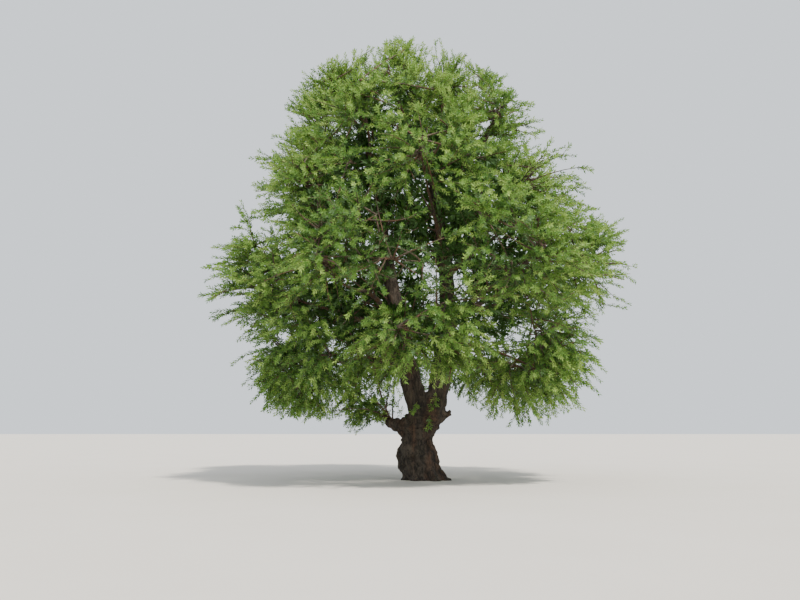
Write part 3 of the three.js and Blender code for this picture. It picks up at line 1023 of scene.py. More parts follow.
    def build(self, bark: Material) -> None:
        """Makes the trunk's piece.

        The rough surfaces are skinned, softened, and moved along their normals by the relief, burls and
        pits. That is softened a little, and the calm spots much more. Last, the ground cuts it off.

        Args:
            bark: The trunk's material.
        """
        mesh = self.remeshed(self.rough())
        edges = rows_of(mesh.edges, "vertices", 2, np.int32)
        first, after, calm = self.soft_rounds
        points = self.softened(rows_of(mesh.vertices, "co", 3), edges, first)
        mesh.vertices.foreach_set("co", points.ravel())
        mesh.update()
        normals = rows_of(mesh.vertices, "normal", 3)
        offset, furrow = self.relief.on_trunk(points, self.grain(points))
        lumps = strength_at(self.features, points)
        points = self.softened(points + normals * (offset + lumps)[:, None], edges, after)
        share = np.clip(strength_at(self.calm, points), 0.0, 1.0)[:, None]
        points = mix(points, self.softened(points, edges, calm), share)
        mesh.vertices.foreach_set("co", points.ravel())
        # Pits count as furrows, so the bark's colour gets painted shade in them as in the furrows.
        furrow = np.clip(furrow + self.pit_shade * np.maximum(-lumps, 0.0), 0.0, 1.0)
        mesh.attributes.new("furrow", "FLOAT", "POINT").data.foreach_set("value", furrow)
        self.cut_at_ground(mesh)
        mesh.polygons.foreach_set("use_smooth", np.full(len(mesh.polygons), True))
        finish_piece(mesh, bark, ["trunk"])

    @staticmethod
    def cut_at_ground(mesh: bpy.types.Mesh) -> None:
        """Cuts a mesh off at z = 0 and closes the cut.

        Args:
            mesh: The mesh.
        """
        shell = bmesh.new()
        shell.from_mesh(mesh)
        whole = shell.verts[:] + shell.edges[:] + shell.faces[:]
        cut = bmesh.ops.bisect_plane(
            shell, geom=whole, dist=1e-5, plane_co=(0, 0, 0), plane_no=(0, 0, 1), clear_inner=True
        )
        rim = [each for each in cut["geom_cut"] if isinstance(each, bmesh.types.BMEdge)]
        closed = bmesh.ops.triangle_fill(shell, edges=rim, use_beauty=True, normal=(0, 0, -1))
        bmesh.ops.recalc_face_normals(shell, faces=shell.faces[:])
        log.info("ground cut: %d faces close it", len(closed["geom"]))
        shell.to_mesh(mesh)
        shell.free()


@dataclass(frozen=True)
class SprayForm:
    """A leaf spray: a length of shoot set all round with leaflets that lean towards its tip.

    The lean strays, and is less at the tip. A leaflet's size is a least share and what scatter adds, and
    its widest place is a share of its length.
    """

    length: float = 0.145
    leaflets: int = 8
    leaflet: float = 0.1
    width: float = 0.037
    widest: float = 0.4
    sizes: Pair = (0.78, 0.44)
    lean: float = 52.0
    lean_stray: float = 24.0
    lean_fall: float = 22.0
    fold: float = 0.16

    def template(self) -> Surface:
        """Works out one spray along +X.

        The leaflets follow each other round the axis by the golden angle, at even steps along it. A leaflet
        is a kite of two triangles, folded along its midrib: its base on the axis, its corners at its
        widest place, and its tip.

        Returns:
            The spray's surface.
        """
        number = np.arange(self.leaflets)
        share = (number + 0.5) / self.leaflets
        turn = np.radians(number * GOLDEN_ANGLE)
        stray = self.lean_stray * (scatter(5, number) - 0.5)
        lean = np.radians(self.lean + stray - self.lean_fall * share**3)
        size = self.leaflet * (self.sizes[0] + self.sizes[1] * scatter(3, number))
        base = np.stack([share * self.length, 0.0 * share, 0.0 * share], -1)
        radial = np.stack([0.0 * share, np.cos(turn), np.sin(turn)], -1)
        axis = np.array([1.0, 0.0, 0.0])
        heading = axis * np.cos(lean)[:, None] + radial * np.sin(lean)[:, None]
        across = unit(np.cross(axis, radial))
        face = np.cross(heading, across)
        half = (self.width / 2.0 * size / self.leaflet)[:, None]
        middle = base + heading * size[:, None] * self.widest - face * half * 2.0 * self.fold
        tip = base + heading * size[:, None]
        corners = [base, middle - across * half, tip, middle + across * half]
        start = 4 * np.arange(self.leaflets)[:, None]
        blades = np.concatenate([start + [0, 1, 2], start + [0, 2, 3]])
        return Surface(np.stack(corners, axis=1).reshape(-1, 3), blades)


@dataclass(frozen=True)
class CrownEdge:
    """The crown's edge round an upright axis: rows of a height and the reach to the right and to the left.

    From a height on, the edge falls to the front, by a share for each metre.
    """

    axis: Pair = (-0.2, 0.35)
    reaches: tuple[Triple, ...] = (
        (1.3, 4.6, 4.4),
        (2.4, 5.1, 5.0),
        (3.1, 5.6, 5.5),
        (4.4, 5.8, 6.0),
        (5.2, 6.7, 6.5),
        (7.0, 6.8, 6.5),
        (8.2, 5.8, 5.8),
        (9.0, 5.5, 5.35),
        (9.8, 4.7, 5.1),
        (10.6, 4.3, 4.7),
        (11.5, 4.0, 4.5),
        (12.2, 3.4, 4.2),
        (12.8, 2.9, 3.7),
        (13.5, 1.9, 2.6),
        (13.9, 1.2, 1.4),
        (14.3, 0.3, 0.3),
    )
    front_fall: float = 0.045
    falls_from: Pair = (9.5, 12.0)

    def share(self, points: Array) -> Array:
        """How far out points are, 1 at the edge.

        A point's distance from the axis is divided by the reach at its height, which goes from the left
        one to the right one with the cosine of its direction. Near the top, points further to the front
        count as higher, which rounds the crown off there.

        Args:
            points: The points.

        Returns:
            One share for each.
        """
        table = np.array(self.reaches)
        across, deep = points[..., 0] - self.axis[0], points[..., 1] - self.axis[1]
        away = np.maximum(np.hypot(across, deep), 1e-6)
        fall = self.front_fall * smooth(points[..., 2], *self.falls_from)
        height = points[..., 2] * (1.0 + fall * np.maximum(-points[..., 1], 0.0))
        right = np.interp(height, table[:, 0], table[:, 1])
        left = np.interp(height, table[:, 0], table[:, 2])
        return away / mix(left, right, (1.0 + across / away) / 2.0)


class Cover:
    """How deep in the foliage places are, from a grid of the shade that the shoots cast."""

    RISES = (-0.2, 0.35)
    FIRST_STEP = 1.1
    BORDER = 1.5

    def __init__(self, points: Array, shade: Array, cell: float = 0.4) -> None:
        """Adds each point's shade to its cell of a grid with an empty border.

        Args:
            points: The middles of the shoots.
            shade: How thickly each shoot's leaves cover one cell.
            cell: The cells' size.
        """
        self.cell = cell
        self.low = points.min(axis=0) - self.BORDER * cell
        index = ((points - self.low) / cell).astype(int)
        self.grid = np.zeros(index.max(axis=0) + 2)
        np.add.at(self.grid, tuple(index.T), shade)

    def depth(self, places: Array, steps: int = 10) -> Array:
        """Sums the shade on straight ways out and up, and takes the least sum.

        Args:
            places: The places.
            steps: How many cells each way goes through.

        Returns:
            The foliage over each place: 0 in the open, over 2 where little light comes.
        """
        turns = np.arange(8) * np.pi / 4.0
        ways = [[math.cos(turn), math.sin(turn), rise] for turn in turns for rise in self.RISES]
        least = np.full(len(places), np.inf)
        for way in unit(np.array(ways + [[0.0, 0.0, 1.0]])):
            total = np.zeros(len(places))
            for step in range(steps):
                reached = places + way * self.cell * (self.FIRST_STEP + step)
                index = ((reached - self.low) / self.cell).astype(int)
                index = np.clip(index, 0, np.array(self.grid.shape) - 1)
                total += self.grid[tuple(index.T)]
            least = np.minimum(least, total)
        return least


@dataclass(frozen=True)
class Notch:
    """A notch between two masses: the stem it grows from, its heart, the way out, and how wide it is."""

    stem_end: Array
    heart: Array
    outward: Array
    gap: float
    bow: float = 0.1

    def stem(self, share: Array) -> Array:
        """Points on the stem that grows into the notch, at shares of its way to the heart."""
        middle = mix(self.stem_end, self.heart, 0.5) + UP * self.bow
        return bezier([self.stem_end, middle, self.heart], share)


@dataclass(frozen=True)
class MassHabit:
    """How a mass's stem branches.

    The count goes with the square of the mass's half width. Reach is the least share of the mass's own
    space that a branch heads for and what chance adds, and roots where on the stem they start and over
    what share they spread. Tip_room is kept back for the shoots. Shares, rise and sway are of its length.
    """

    branches: int = 24
    usual_half: float = 2.3
    fewest: int = 8
    last_level: float = -0.8
    reach: Pair = (0.9, 0.1)
    least_reach: float = 0.3
    roots: Pair = (0.35, 0.6)
    tip_room: float = 0.6
    least_share: float = 0.4
    limit: float = 0.96
    least_fitted: float = 0.35
    rise: float = 0.08
    sway: float = 0.08
    stem_before: float = 0.12
    stem_sway: float = 0.05
    stem_thin: float = 0.016
    stem_steps: int = 14
    stem_sides: int = 8


@dataclass(frozen=True)
class LimbHabit:
    """How the outer part of a leader or a bough branches.

    Places and stray are shares of the limb's length. A branch that the crown's edge leaves shorter than
    the least length isn't made.
    """

    bough_branches: int = 8
    bough_first: float = 0.3
    leader_branches: int = 34
    leader_first: float = 0.14
    last: float = 0.97
    stray: float = 0.02
    lean: Pair = (45.0, 72.0)
    rise: float = 0.1
    length: Pair = (0.9, 2.6)
    least_length: float = 0.4
    limit: float = 0.97
    sway: float = 0.06
    steps: int = 200


@dataclass(frozen=True)
class NotchHabit:
    """Which notches between masses are filled, and how their stems branch.

    Gaps are counted in two masses' half sizes together. The steps lie on the way out, flattened. Counts
    and limits are for a narrow and a wide notch, and grow between the gaps given.
    """

    widest: float = 1.15
    flat: float = 0.6
    steps: Pair = (-1.2, 2.4)
    step_count: int = 37
    well_inside: float = 0.74
    room: float = 1.1
    least_in_mass: float = 0.68
    least_in_crown: float = 0.5
    most_inside: float = 0.95
    counts: tuple[int, int] = (5, 15)
    count_gaps: Pair = (0.75, 1.0)
    last_level: float = 0.1
    turn: float = 10.0
    roots: Pair = (0.35, 0.65)
    limits: Pair = (0.86, 0.96)
    limit_gaps: Pair = (0.85, 1.0)
    length: Pair = (0.8, 1.7)
    least_length: float = 0.25
    sway: float = 0.12
    stem_radii: Pair = (0.026, 0.012)
    stem_steps: int = 6
    stem_sides: int = 5


@dataclass(frozen=True)
class ShootHabit:
    """How shoots leave a branch.

    Lift and bend raise the heading and the tip: in the crown's middle, what is added at its top, and what
    is taken off at its foot. A heading takes on some of the way out. Some tips may stand out further.
    """

    count: int = 8
    places: Pair = (0.25, 0.96)
    ahead: float = 0.03
    spread: Pair = (30.0, 66.0)
    end_spread: Pair = (0.0, 15.0)
    roll: Pair = (8.0, 34.0)
    length: Pair = (0.4, 0.85)
    length_fall: Pair = (1.15, 0.3)
    long_share: float = 0.1
    long_factor: float = 1.7
    foot: Pair = (3.0, 5.5)
    top: Pair = (9.0, 13.0)
    flat: float = 0.62
    outward_flat: float = 0.25
    outward: float = 0.3
    lift: Triple = (0.12, 0.5, 0.3)
    bend: Triple = (-0.16, 0.24, 0.24)
    bend_stray: float = 0.08
    limits: Pair = (0.9, 1.03)
    stand_out: float = 0.1
    stand_out_share: float = 0.12
    least_length: float = 0.2
    lowest_tip: float = 1.3
    clear: float = 0.08
    radii: Pair = (0.008, 0.003)

    def by_height(self, values: Triple, height: Array) -> Array:
        """A column of a value at heights: the middle's, with the top's added and the foot's taken off."""
        low = 1.0 - smooth(height, *self.foot)
        high = smooth(height, *self.top)
        return (values[0] + values[1] * high - values[2] * low)[:, None]


@dataclass(frozen=True)
class Thinning:
    """Where the crown is deep, and where shoots fall away.

    Shade is how thickly a metre of shoot covers a cell of the cover's grid. Pockets are where noise is
    below their level. In the hollows the crown's inside shows dark.
    """

    shade: float = 0.75
    heart_depth: float = 2.5
    heart_from: Pair = (0.48, 0.68)
    depths: Pair = (1.0, 2.8)
    inner_share: float = 0.47
    pocket_size: float = 1.0
    pocket_seed: int = 17
    pocket_level: float = -0.28
    pocket_depth: float = 1.1
    pocket_share: float = 0.2
    hollows: tuple[SoftSpot, ...] = (
        SoftSpot((-0.6, -5.2, 5.9), (1.0, 1.8, 1.1), 0.84),
        SoftSpot((-1.95, -3.6, 9.4), (0.7, 1.6, 0.6), 0.9),
        SoftSpot((1.8, -5.0, 5.7), (0.8, 1.4, 0.6), 0.7),
        SoftSpot((3.5, -3.0, 4.2), (1.2, 2.2, 0.5), 0.8),
    )


@dataclass(frozen=True)
class SprayHabit:
    """How sprays are set on shoots, beside each other, on branches and on the trunk's sprouts.

    A heading has its parts of the shoot's direction and of another. Tip_tone is how much brighter sprays
    are at their shoot's tip, and darker far back: partly the young leaves' paler colour, partly painted
    light on the tips and painted shade further in. Deep sprays ease to the inner scale.
    """

    most: int = 7
    past_root: float = 0.1
    size: Pair = (0.85, 1.2)
    beside: float = 0.36
    beside_heading: Pair = (0.75, 0.66)
    beside_size: Pair = (0.7, 1.1)
    tip_tone: float = 0.22
    tip_from: Pair = (0.15, 0.9)
    coarse_from: Pair = (1.2, 2.3)
    inner_scale: float = 2.6
    inner_count: int = 4
    inner_places: Pair = (0.3, 0.85)
    inner_ahead: float = 0.02
    inner_heading: Pair = (0.7, 0.6)
    inner_size: Pair = (0.85, 1.15)
    sprout_places: tuple[float, ...] = (0.3, 0.5, 0.68, 0.84, 0.97)
    sprout_heading: Pair = (0.5, 0.2)
    sprout_size: Pair = (0.75, 1.1)


@dataclass(frozen=True)
class GreenRule:
    """How the greens are dealt out: what makes a spray bright, mostly painted light and shade, and each
    green's part of all sprays.

    Where a weight has two values after it, it eases in between those depths or heights. A noise has its
    weight, width and seed. The last green has the sprays that the parts leave.
    """

    # Painted shade under cover and in the hollows, painted light on the lit side and at the crown's foot and
    # top; the noises and chance are the leaves' own random tone.
    covered: Triple = (1.3, 0.0, 2.4)
    hollow: float = 0.75
    lit: float = 0.45
    lit_from: Triple = (0.3, -0.15, 0.8)
    noises: tuple[tuple[float, float, int], ...] = ((0.3, 1.1, 9), (0.2, 2.7, 31))
    foot: Triple = (0.4, 3.0, 6.0)
    top: Triple = (0.4, 12.3, 13.8)
    chance: float = 0.38
    parts: tuple[float, ...] = (0.08, 0.13, 0.16, 0.17, 0.16, 0.11, 0.1)


@dataclass
class Crown:
    """The foliage: branches on stems and boughs, shoots along the branches, sprays down the shoots.

    The heart's sizes are how far the crown reaches from its heart aside, to the back, up and down. The
    shares are what of its length a branch or shoot is tried at, to fit the crown's edge.
    """

    rule: GrowthRule
    skeleton: Skeleton
    mass_habit: MassHabit = MassHabit()
    limb_habit: LimbHabit = LimbHabit()
    notch_habit: NotchHabit = NotchHabit()
    shoot_habit: ShootHabit = ShootHabit()
    thinning: Thinning = Thinning()
    spray_habit: SprayHabit = SprayHabit()
    green_rule: GreenRule = GreenRule()
    form: SprayForm = SprayForm()
    edge: CrownEdge = CrownEdge()
    sprouts: tuple[tuple[Triple, ...], ...] = (
        ((-0.62, -0.12, 1.7), (-0.66, -0.2, 2.0), (-0.86, -0.22, 2.3)),
        ((0.3, -0.4, 2.55), (0.34, -0.66, 2.45), (0.26, -0.68, 2.1)),
        ((0.1, -0.42, 1.9), (0.14, -0.64, 1.85), (0.1, -0.66, 1.5)),
        ((-0.2, -0.4, 2.3), (-0.24, -0.62, 2.2), (-0.3, -0.64, 1.95)),
    )
    branch_radii: Pair = (0.028, 0.007)
    heart_sizes: tuple[float, float, float, float] = (6.6, 6.8, 8.0, 4.7)
    shares: tuple[float, ...] = (0.35, 0.5, 0.65, 0.8, 0.9, 1.0)
    seed: int = 20

    def __post_init__(self) -> None:
        """Starts the lists that grow with each mass."""
        self.random = np.random.default_rng(self.seed)
        self.stems: list[Surface] = []
        self.twigs: list[Surface] = []
        self.branches: list[list[Array]] = []
        self.shoots: list[list[Array]] = []
        self.sprays: list[list[Array]] = []
        self.samples = self.skeleton.samples()

    def outwardness(self, points: Array) -> Array:
        """How far points are from the crown's heart, in its sizes: 0 there and about 1 at the edge."""
        away = points - CROWN_HEART
        wide, deep, tall, low = self.heart_sizes
        height = np.where(away[..., 2] > 0, tall, low)
        sizes = np.stack([np.full(height.shape, wide), np.full(height.shape, deep), height], -1)
        return norm(away / sizes, axis=-1)

    def share(self, points: Array) -> Array:
        """How far out in the crown points are: the larger of the masses' joint share and the edge's."""
        return np.maximum(self.rule.joint_share(points), self.edge.share(points))

    def clear_of_limbs(self, points: Array, room: float) -> Array:
        """Whether each point stands clear of every limb's surface by more than the room."""
        middles, radii = self.samples
        clear = np.ones(len(points), dtype=bool)
        for middle, radius in zip(middles, radii):
            clear &= norm(points - middle, axis=1) > radius + room
        return clear

    def fitted(self, roots: Array, heading: Array, length: Array, limit: Array | float) -> Array:
        """Shortens what grows from roots until its tips are within the crown's edge.

        Args:
            roots: Where they root.
            heading: Their directions.
            length: Their lengths.
            limit: The largest share that a tip may reach.

        Returns:
            The longest of the tried lengths that fits, or 0.
        """
        best = np.zeros_like(length)
        for share in self.shares:
            tips = roots + heading * (length * share)[:, None]
            best = np.where(self.share(tips) <= limit, length * share, best)
        return best

    def curved(self, roots: Array, ends: Array, length: Array, sway: float, rise: float = 0.0) -> list[Array]:
        """Roots, bows and ends of branches that sway at random and rise by shares of their lengths."""
        middles = mix(roots, ends, 0.5) + UP * length * rise
        return [roots, middles + self.random.normal(0.0, sway, ends.shape) * length, ends]

    def headed(
        self, habit: LimbHabit | NotchHabit, roots: Array, heading: Array, length: Array, limit: float
    ) -> list[Array]:
        """Branches that head out as far as the crown's edge lets them.

        Args:
            habit: The habit that sets their sway and least length.
            roots: Where they root.
            heading: Their directions.
            length: Their full lengths.
            limit: How far out in the crown they may end.

        Returns:
            The roots, bows and ends of those that are long enough.
        """
        length = self.fitted(roots, heading, length, limit)
        keep = length > habit.least_length
        roots, heading, length = roots[keep], heading[keep], length[keep, None]
        return self.curved(roots, roots + heading * length, length, habit.sway)

    def mass_branches(self, mass: Mass) -> list[Array]:
        """The mass's branches, by the source's rule for twigs.

        Each roots on the stem, heads for a point of the mass's edge in a fan round the way out of the
        crown's heart, bows up, and ends within the crown's edge.

        Args:
            mass: The mass.

        Returns:
            Their roots, bows and ends.
        """
        habit = self.mass_habit
        count = max(habit.fewest, round(habit.branches * (mass.half[0] / habit.usual_half) ** 2))
        outward = unit(mass.centre - CROWN_HEART)
        directions = fan(outward, habit.last_level, 2.0 * np.pi * scatter(mass.seed, 7), count)
        k = np.arange(count)
        least, more = habit.reach
        reach = self.rule.reach(mass, directions, least + more * scatter(mass.seed, k + 3))
        keep = reach > habit.least_reach
        directions, reach, k = directions[keep], reach[keep], k[keep]
        tips = mass.centre + directions * mass.half * reach[:, None]
        first, over = habit.roots
        roots = mix(mass.entry, mass.stem_end(), (first + over * scatter(mass.seed, k + 5))[:, None])
        length = norm(tips - roots, axis=1, keepdims=True)
        ends = mix(roots, tips, np.clip(1.0 - habit.tip_room / length, habit.least_share, 1.0))
        whole = norm(ends - roots, axis=1)
        fitted = self.fitted(roots, unit(ends - roots), whole, habit.limit)
        ends = mix(roots, ends, np.maximum(fitted / whole, habit.least_fitted)[:, None])
        return self.curved(roots, ends, length, habit.sway, habit.rise)

    def limb_branches(self, limb: Limb, count: int, first: float) -> list[Array]:
        """Branches that stand out round the outer part of a leader or bough, by the golden angle.

        Args:
            limb: The limb.
            count: How many branches it carries.
            first: The share of its length where the first one is.

        Returns:
            Their roots, bows and ends.
        """
        habit, random = self.limb_habit, self.random
        path = limb.path(habit.steps)
        place = np.linspace(first, habit.last, count) + random.uniform(-habit.stray, habit.stray, count)
        index = (place * (habit.steps - 2)).astype(int)
        roots = path[index]
        along = unit(path[index + 1] - roots)
        helper = unit(np.cross(along, UP + 1e-3))
        above = np.cross(along, helper)
        turn = np.radians(np.arange(count) * GOLDEN_ANGLE + random.uniform(0.0, 360.0))
        out = helper * np.cos(turn)[:, None] + above * np.sin(turn)[:, None]
        lean = np.radians(random.uniform(*habit.lean, count))[:, None]
        heading = along * np.cos(lean) + out * np.sin(lean) + UP * habit.rise
        return self.headed(habit, roots, heading, random.uniform(*habit.length, count), habit.limit)

    def notches(self) -> list[Notch]:
        """Finds the notches between neighbouring masses.

        Steps are tried on the way out through the middle between two masses. The last one well inside the
        edge, or else the one furthest inside, is the notch's heart. It counts if it lies far enough out in
        both masses and in the crown, and away from the hearts found before.

        Returns:
            The notches.
        """
        habit = self.notch_habit
        found: list[Notch] = []
        for one, other in combinations(self.rule.masses, 2):
            gap = float(norm((one.centre - other.centre) / (one.half + other.half)))
            middle = mix(one.centre, other.centre, 0.5)
            outward = unit(flattened(middle - CROWN_HEART, habit.flat))
            steps = middle + outward * np.linspace(*habit.steps, habit.step_count)[:, None]
            share = self.share(steps)
            inside = np.flatnonzero(share <= habit.well_inside)
            heart = steps[inside[-1] if len(inside) else share.argmin()]
            out = min(norm((heart - mass.centre) / mass.half) for mass in (one, other))
            is_out = out > habit.least_in_mass and self.outwardness(heart) > habit.least_in_crown
            is_free = all(norm(each.heart - heart) >= habit.room for each in found)
            if gap < habit.widest and is_out and share.min() < habit.most_inside and is_free:
                found.append(Notch(one.stem_end(), heart, outward, gap))
        log.info("notches: %d", len(found))
        return found

    def notch_branches(self, notch: Notch) -> list[Array]:
        """Branches from the stem into a notch, fanned out round the way out.

        Args:
            notch: The notch. A wider one has more branches.

        Returns:
            Their roots, bows and ends.
        """
        habit = self.notch_habit
        count = round(float(mix(*habit.counts, smooth(notch.gap, *habit.count_gaps))))
        heading = fan(notch.outward, habit.last_level, habit.turn * notch.gap, count)
        first, over = habit.roots
        roots = notch.stem(first + over * self.random.random(count))
        limit = mix(*habit.limits, smooth(notch.gap, *habit.limit_gaps))
        return self.headed(habit, roots, heading, self.random.uniform(*habit.length, count), limit)

    def grow(self, branches: list[Array]) -> None:
        """Grows shoots along branches.

        Shoots leave a branch to its two sides in turn. They flatten towards the level and turn outwards,
        rise at the top of the crown, and hang at its foot.

        Args:
            branches: The branches' roots, bows and ends.
        """
        habit, random = self.shoot_habit, self.random
        share = np.append(np.linspace(*habit.places, habit.count - 1), 1.0)
        is_end = share == 1.0
        points = bezier(branches, share)
        along = unit(bezier(branches, share + habit.ahead) - points)
        shape = (len(points), habit.count)
        aside = unit(np.cross(UP, along))
        above = np.cross(along, aside)
        side = (np.arange(habit.count) + random.integers(0, 2, (shape[0], 1))) % 2
        sign = np.where(side == 0, 1.0, -1.0)
        at_end, on_side = random.uniform(*habit.end_spread, shape), random.uniform(*habit.spread, shape)
        spread = np.radians(np.where(is_end, at_end, on_side))
        roll = np.radians(random.normal(*habit.roll, shape))
        lean = aside * (sign * np.cos(roll))[..., None] + above * np.sin(roll)[..., None]
        heading = along * np.cos(spread)[..., None] + lean * np.sin(spread)[..., None]
        most, fall = habit.length_fall
        length = random.uniform(*habit.length, shape) * (most - fall * share)
        length = length * np.where(random.random(shape) < habit.long_share, habit.long_factor, 1.0)
        roots, heading, length = points.reshape(-1, 3), heading.reshape(-1, 3), length.ravel()
        height = roots[:, 2]
        outward = unit(flattened(roots - CROWN_HEART, habit.outward_flat))
        heading = flattened(heading, habit.flat) + outward * habit.outward
        heading = unit(heading + UP * habit.by_height(habit.lift, height))
        stray = random.normal(0.0, habit.bend_stray, roots.shape)
        bend = UP * habit.by_height(habit.bend, height) + stray
        limit = random.uniform(*habit.limits, len(roots))
        limit = limit + habit.stand_out * (random.random(len(roots)) < habit.stand_out_share)
        length = self.fitted(roots, heading + bend, length, limit)
        tips = roots + (heading + bend) * length[:, None]
        keep = (length > habit.least_length) & (tips[:, 2] > habit.lowest_tip)
        keep &= self.clear_of_limbs(tips, habit.clear)
        middles = roots + heading * length[:, None] * 0.5
        owners = sum(len(each[0]) for each in self.branches) + np.repeat(np.arange(shape[0]), habit.count)
        kept = [each[keep] for each in (roots, middles, tips, owners, np.tile(is_end, shape[0]))]
        self.branches.append(branches)
        self.shoots.append(kept)

    def depth(self, points: Array) -> Array:
        """How deep in the foliage points are: what covers them, and more near the crown's heart."""
        near_heart = 1.0 - smooth(self.outwardness(points), *self.thinning.heart_from)
        return self.cover.depth(points) + self.thinning.heart_depth * near_heart

    def hollowness(self, points: Array) -> Array:
        """How near the middle of a hollow points are: its strength in the middle, 0 far away."""
        return strength_at(self.thinning.hollows, points)

    def kept_share(self, points: Array, deep: Array, at_end: Array) -> Array:
        """Works out what share of the shoots is kept at each place.

        The share eases from 1 near the surface to the inner share. It is cut down in the hollows, and in
        pockets near the surface, but there not for a shoot at a branch's end.

        Args:
            points: The shoots' middles.
            deep: How deep each is in the foliage.
            at_end: Which of them stand at a branch's end.

        Returns:
            The share for each.
        """
        habit = self.thinning
        share = mix(1.0, habit.inner_share, smooth(deep, *habit.depths))
        in_pocket = value_noise(points / habit.pocket_size, habit.pocket_seed) < habit.pocket_level
        in_pocket &= (deep < habit.pocket_depth) & ~at_end
        share = share * np.where(in_pocket, habit.pocket_share, 1.0)
        return share * (1.0 - self.hollowness(points))

    def leaf_out(self) -> None:
        """Thins the shoots, and sets the branches, shoots and sprays.

        Deep shoots have fewer and larger sprays, which shut the crown's inside. A branch that keeps no
        shoot isn't made.
        """
        branches = [np.concatenate(each) for each in zip(*self.branches)]
        *shoots, owners, at_end = [np.concatenate(each) for each in zip(*self.shoots)]
        length = norm(shoots[2] - shoots[0], axis=1)
        self.cover = Cover(shoots[1], self.thinning.shade * length)
        deep = self.depth(shoots[1])
        keep = self.random.random(len(deep)) < self.kept_share(shoots[1], deep, at_end)
        *shoots, owners, length, deep = [each[keep] for each in (*shoots, owners, length, deep)]
        leafy = np.isin(np.arange(len(branches[0])), owners)
        branches = [each[leafy] for each in branches]
        log.info("branches: %d, shoots: %d", leafy.sum(), len(length))
        self.stems.append(curved_tubes(branches, self.branch_radii, 5, 4))
        self.set_inner_sprays(branches)
        self.twigs.append(curved_tubes(shoots, self.shoot_habit.radii, 3, 3))
        self.set_sprays(shoots, length, self.sizes(deep))

    def sizes(self, deep: Array) -> Array:
        """Sizes of sprays at depths: 1 in the open, easing to the inner scale."""
        return mix(1.0, self.spray_habit.inner_scale, smooth(deep, *self.spray_habit.coarse_from))

    def set_sprays(self, controls: list[Array], length: Array, scale: Array) -> None:
        """Sets leaf sprays end to end down each shoot, back from its tip, and some that branch off.

        Spray k starts where k + 1 spray lengths are left to the tip, and heads for where it ends. Some of
        the sprays get a smaller one beside them that leans out.

        Args:
            controls: The shoots' roots, middles and tips.
            length: Their lengths.
            scale: The size of each shoot's sprays.
        """
        habit, random = self.spray_habit, self.random
        step = (self.form.length * scale / length)[:, None]
        start = 1.0 - (np.arange(habit.most) + 1.0) * step
        origin, end = bezier(controls, start), bezier(controls, start + step)
        keep = start > -habit.past_root
        origin, chord = origin[keep], (end - origin)[keep]
        size = np.broadcast_to(scale[:, None], keep.shape)[keep] * random.uniform(*habit.size, keep.sum())
        # Brighter at the tip and darker far back: partly the young leaves' paler colour, partly painted light
        # and shade.
        tone = mix(habit.tip_tone, -habit.tip_tone, smooth(1.0 - start, *habit.tip_from))[keep]
        self.add_sprays(origin, chord, size, tone)
        beside = random.random(len(origin)) < habit.beside
        origin, chord, size, tone = origin[beside], unit(chord[beside]), size[beside], tone[beside]
        turn = random.uniform(0.0, 2.0 * np.pi, len(origin))[:, None]
        aside = unit(np.cross(UP, chord))
        lean = aside * np.cos(turn) + np.cross(chord, aside) * np.sin(turn)
        heading = chord * habit.beside_heading[0] + lean * habit.beside_heading[1]
        self.add_sprays(origin, heading, size * random.uniform(*habit.beside_size, len(origin)), tone)

    def set_inner_sprays(self, branches: list[Array]) -> None:
        """Sets large sprays on the branches themselves, which shut the crown's inside.

        Args:
            branches: The branches' roots, bows and ends.
        """
        habit, random = self.spray_habit, self.random
        share = np.linspace(*habit.inner_places, habit.inner_count)
        points = bezier(branches, share)
        along = unit(bezier(branches, share + habit.inner_ahead) - points)
        out = unit(random.normal(0.0, 1.0, along.shape))
        heading = (along * habit.inner_heading[0] + out * habit.inner_heading[1]).reshape(-1, 3)
        points = points.reshape(-1, 3)
        size = self.sizes(self.depth(points)) * random.uniform(*habit.inner_size, len(points))
        self.add_sprays(points, heading, size, np.zeros(len(points)))

    def set_sprouts(self) -> None:
        """Sets the small leafy sprouts on the trunk, their sprays in pairs and heading all ways."""
        habit = self.spray_habit
        controls = [np.array(each) for each in zip(*self.sprouts)]
        self.twigs.append(curved_tubes(controls, self.shoot_habit.radii, 3, 3))
        points = np.repeat(bezier(controls, np.array(habit.sprout_places)).reshape(-1, 3), 2, axis=0)
        along = np.repeat(unit(controls[2] - controls[0]), 2 * len(habit.sprout_places), axis=0)
        stray = unit(self.random.normal(0.0, 1.0, points.shape))
        heading = along * habit.sprout_heading[0] + stray - UP * habit.sprout_heading[1]
        size = self.random.uniform(*habit.sprout_size, len(points))
        self.add_sprays(points, heading, size, np.zeros(len(points)))

    def add_sprays(self, origin: Array, heading: Array, size: Array, tone: Array) -> None:
        """Keeps the places, axes, sizes and tones of sprays, each turned round its heading at random.

        Args:
            origin: Where they start.
            heading: Their directions.
            size: Their sizes.
            tone: How much brighter each is than the rest.
        """
        heading = unit(heading)
        aside = unit(np.cross(heading, unit(self.random.normal(0.0, 1.0, heading.shape))))
        axes = np.stack([heading, aside, np.cross(heading, aside)], axis=1)
        self.sprays.append([origin, axes, size, tone])

    def greens(self, origins: Array, tones: Array) -> Array:
        """Deals out the greens.

        Brightness is a sum. It falls under cover and in the hollows, painted shade, and rises towards the lit
        side, the crown's foot and top, painted light, and a shoot's tip, partly the young leaves' paler
        colour and partly painted light, and noise and chance are added. Set parts of all the sprays fall to
        the greens in order.

        Args:
            origins: The sprays' places.
            tones: How much brighter each is, by its place on its shoot.

        Returns:
            A number for each spray, its green's place in the list of greens.
        """
        rule = self.green_rule
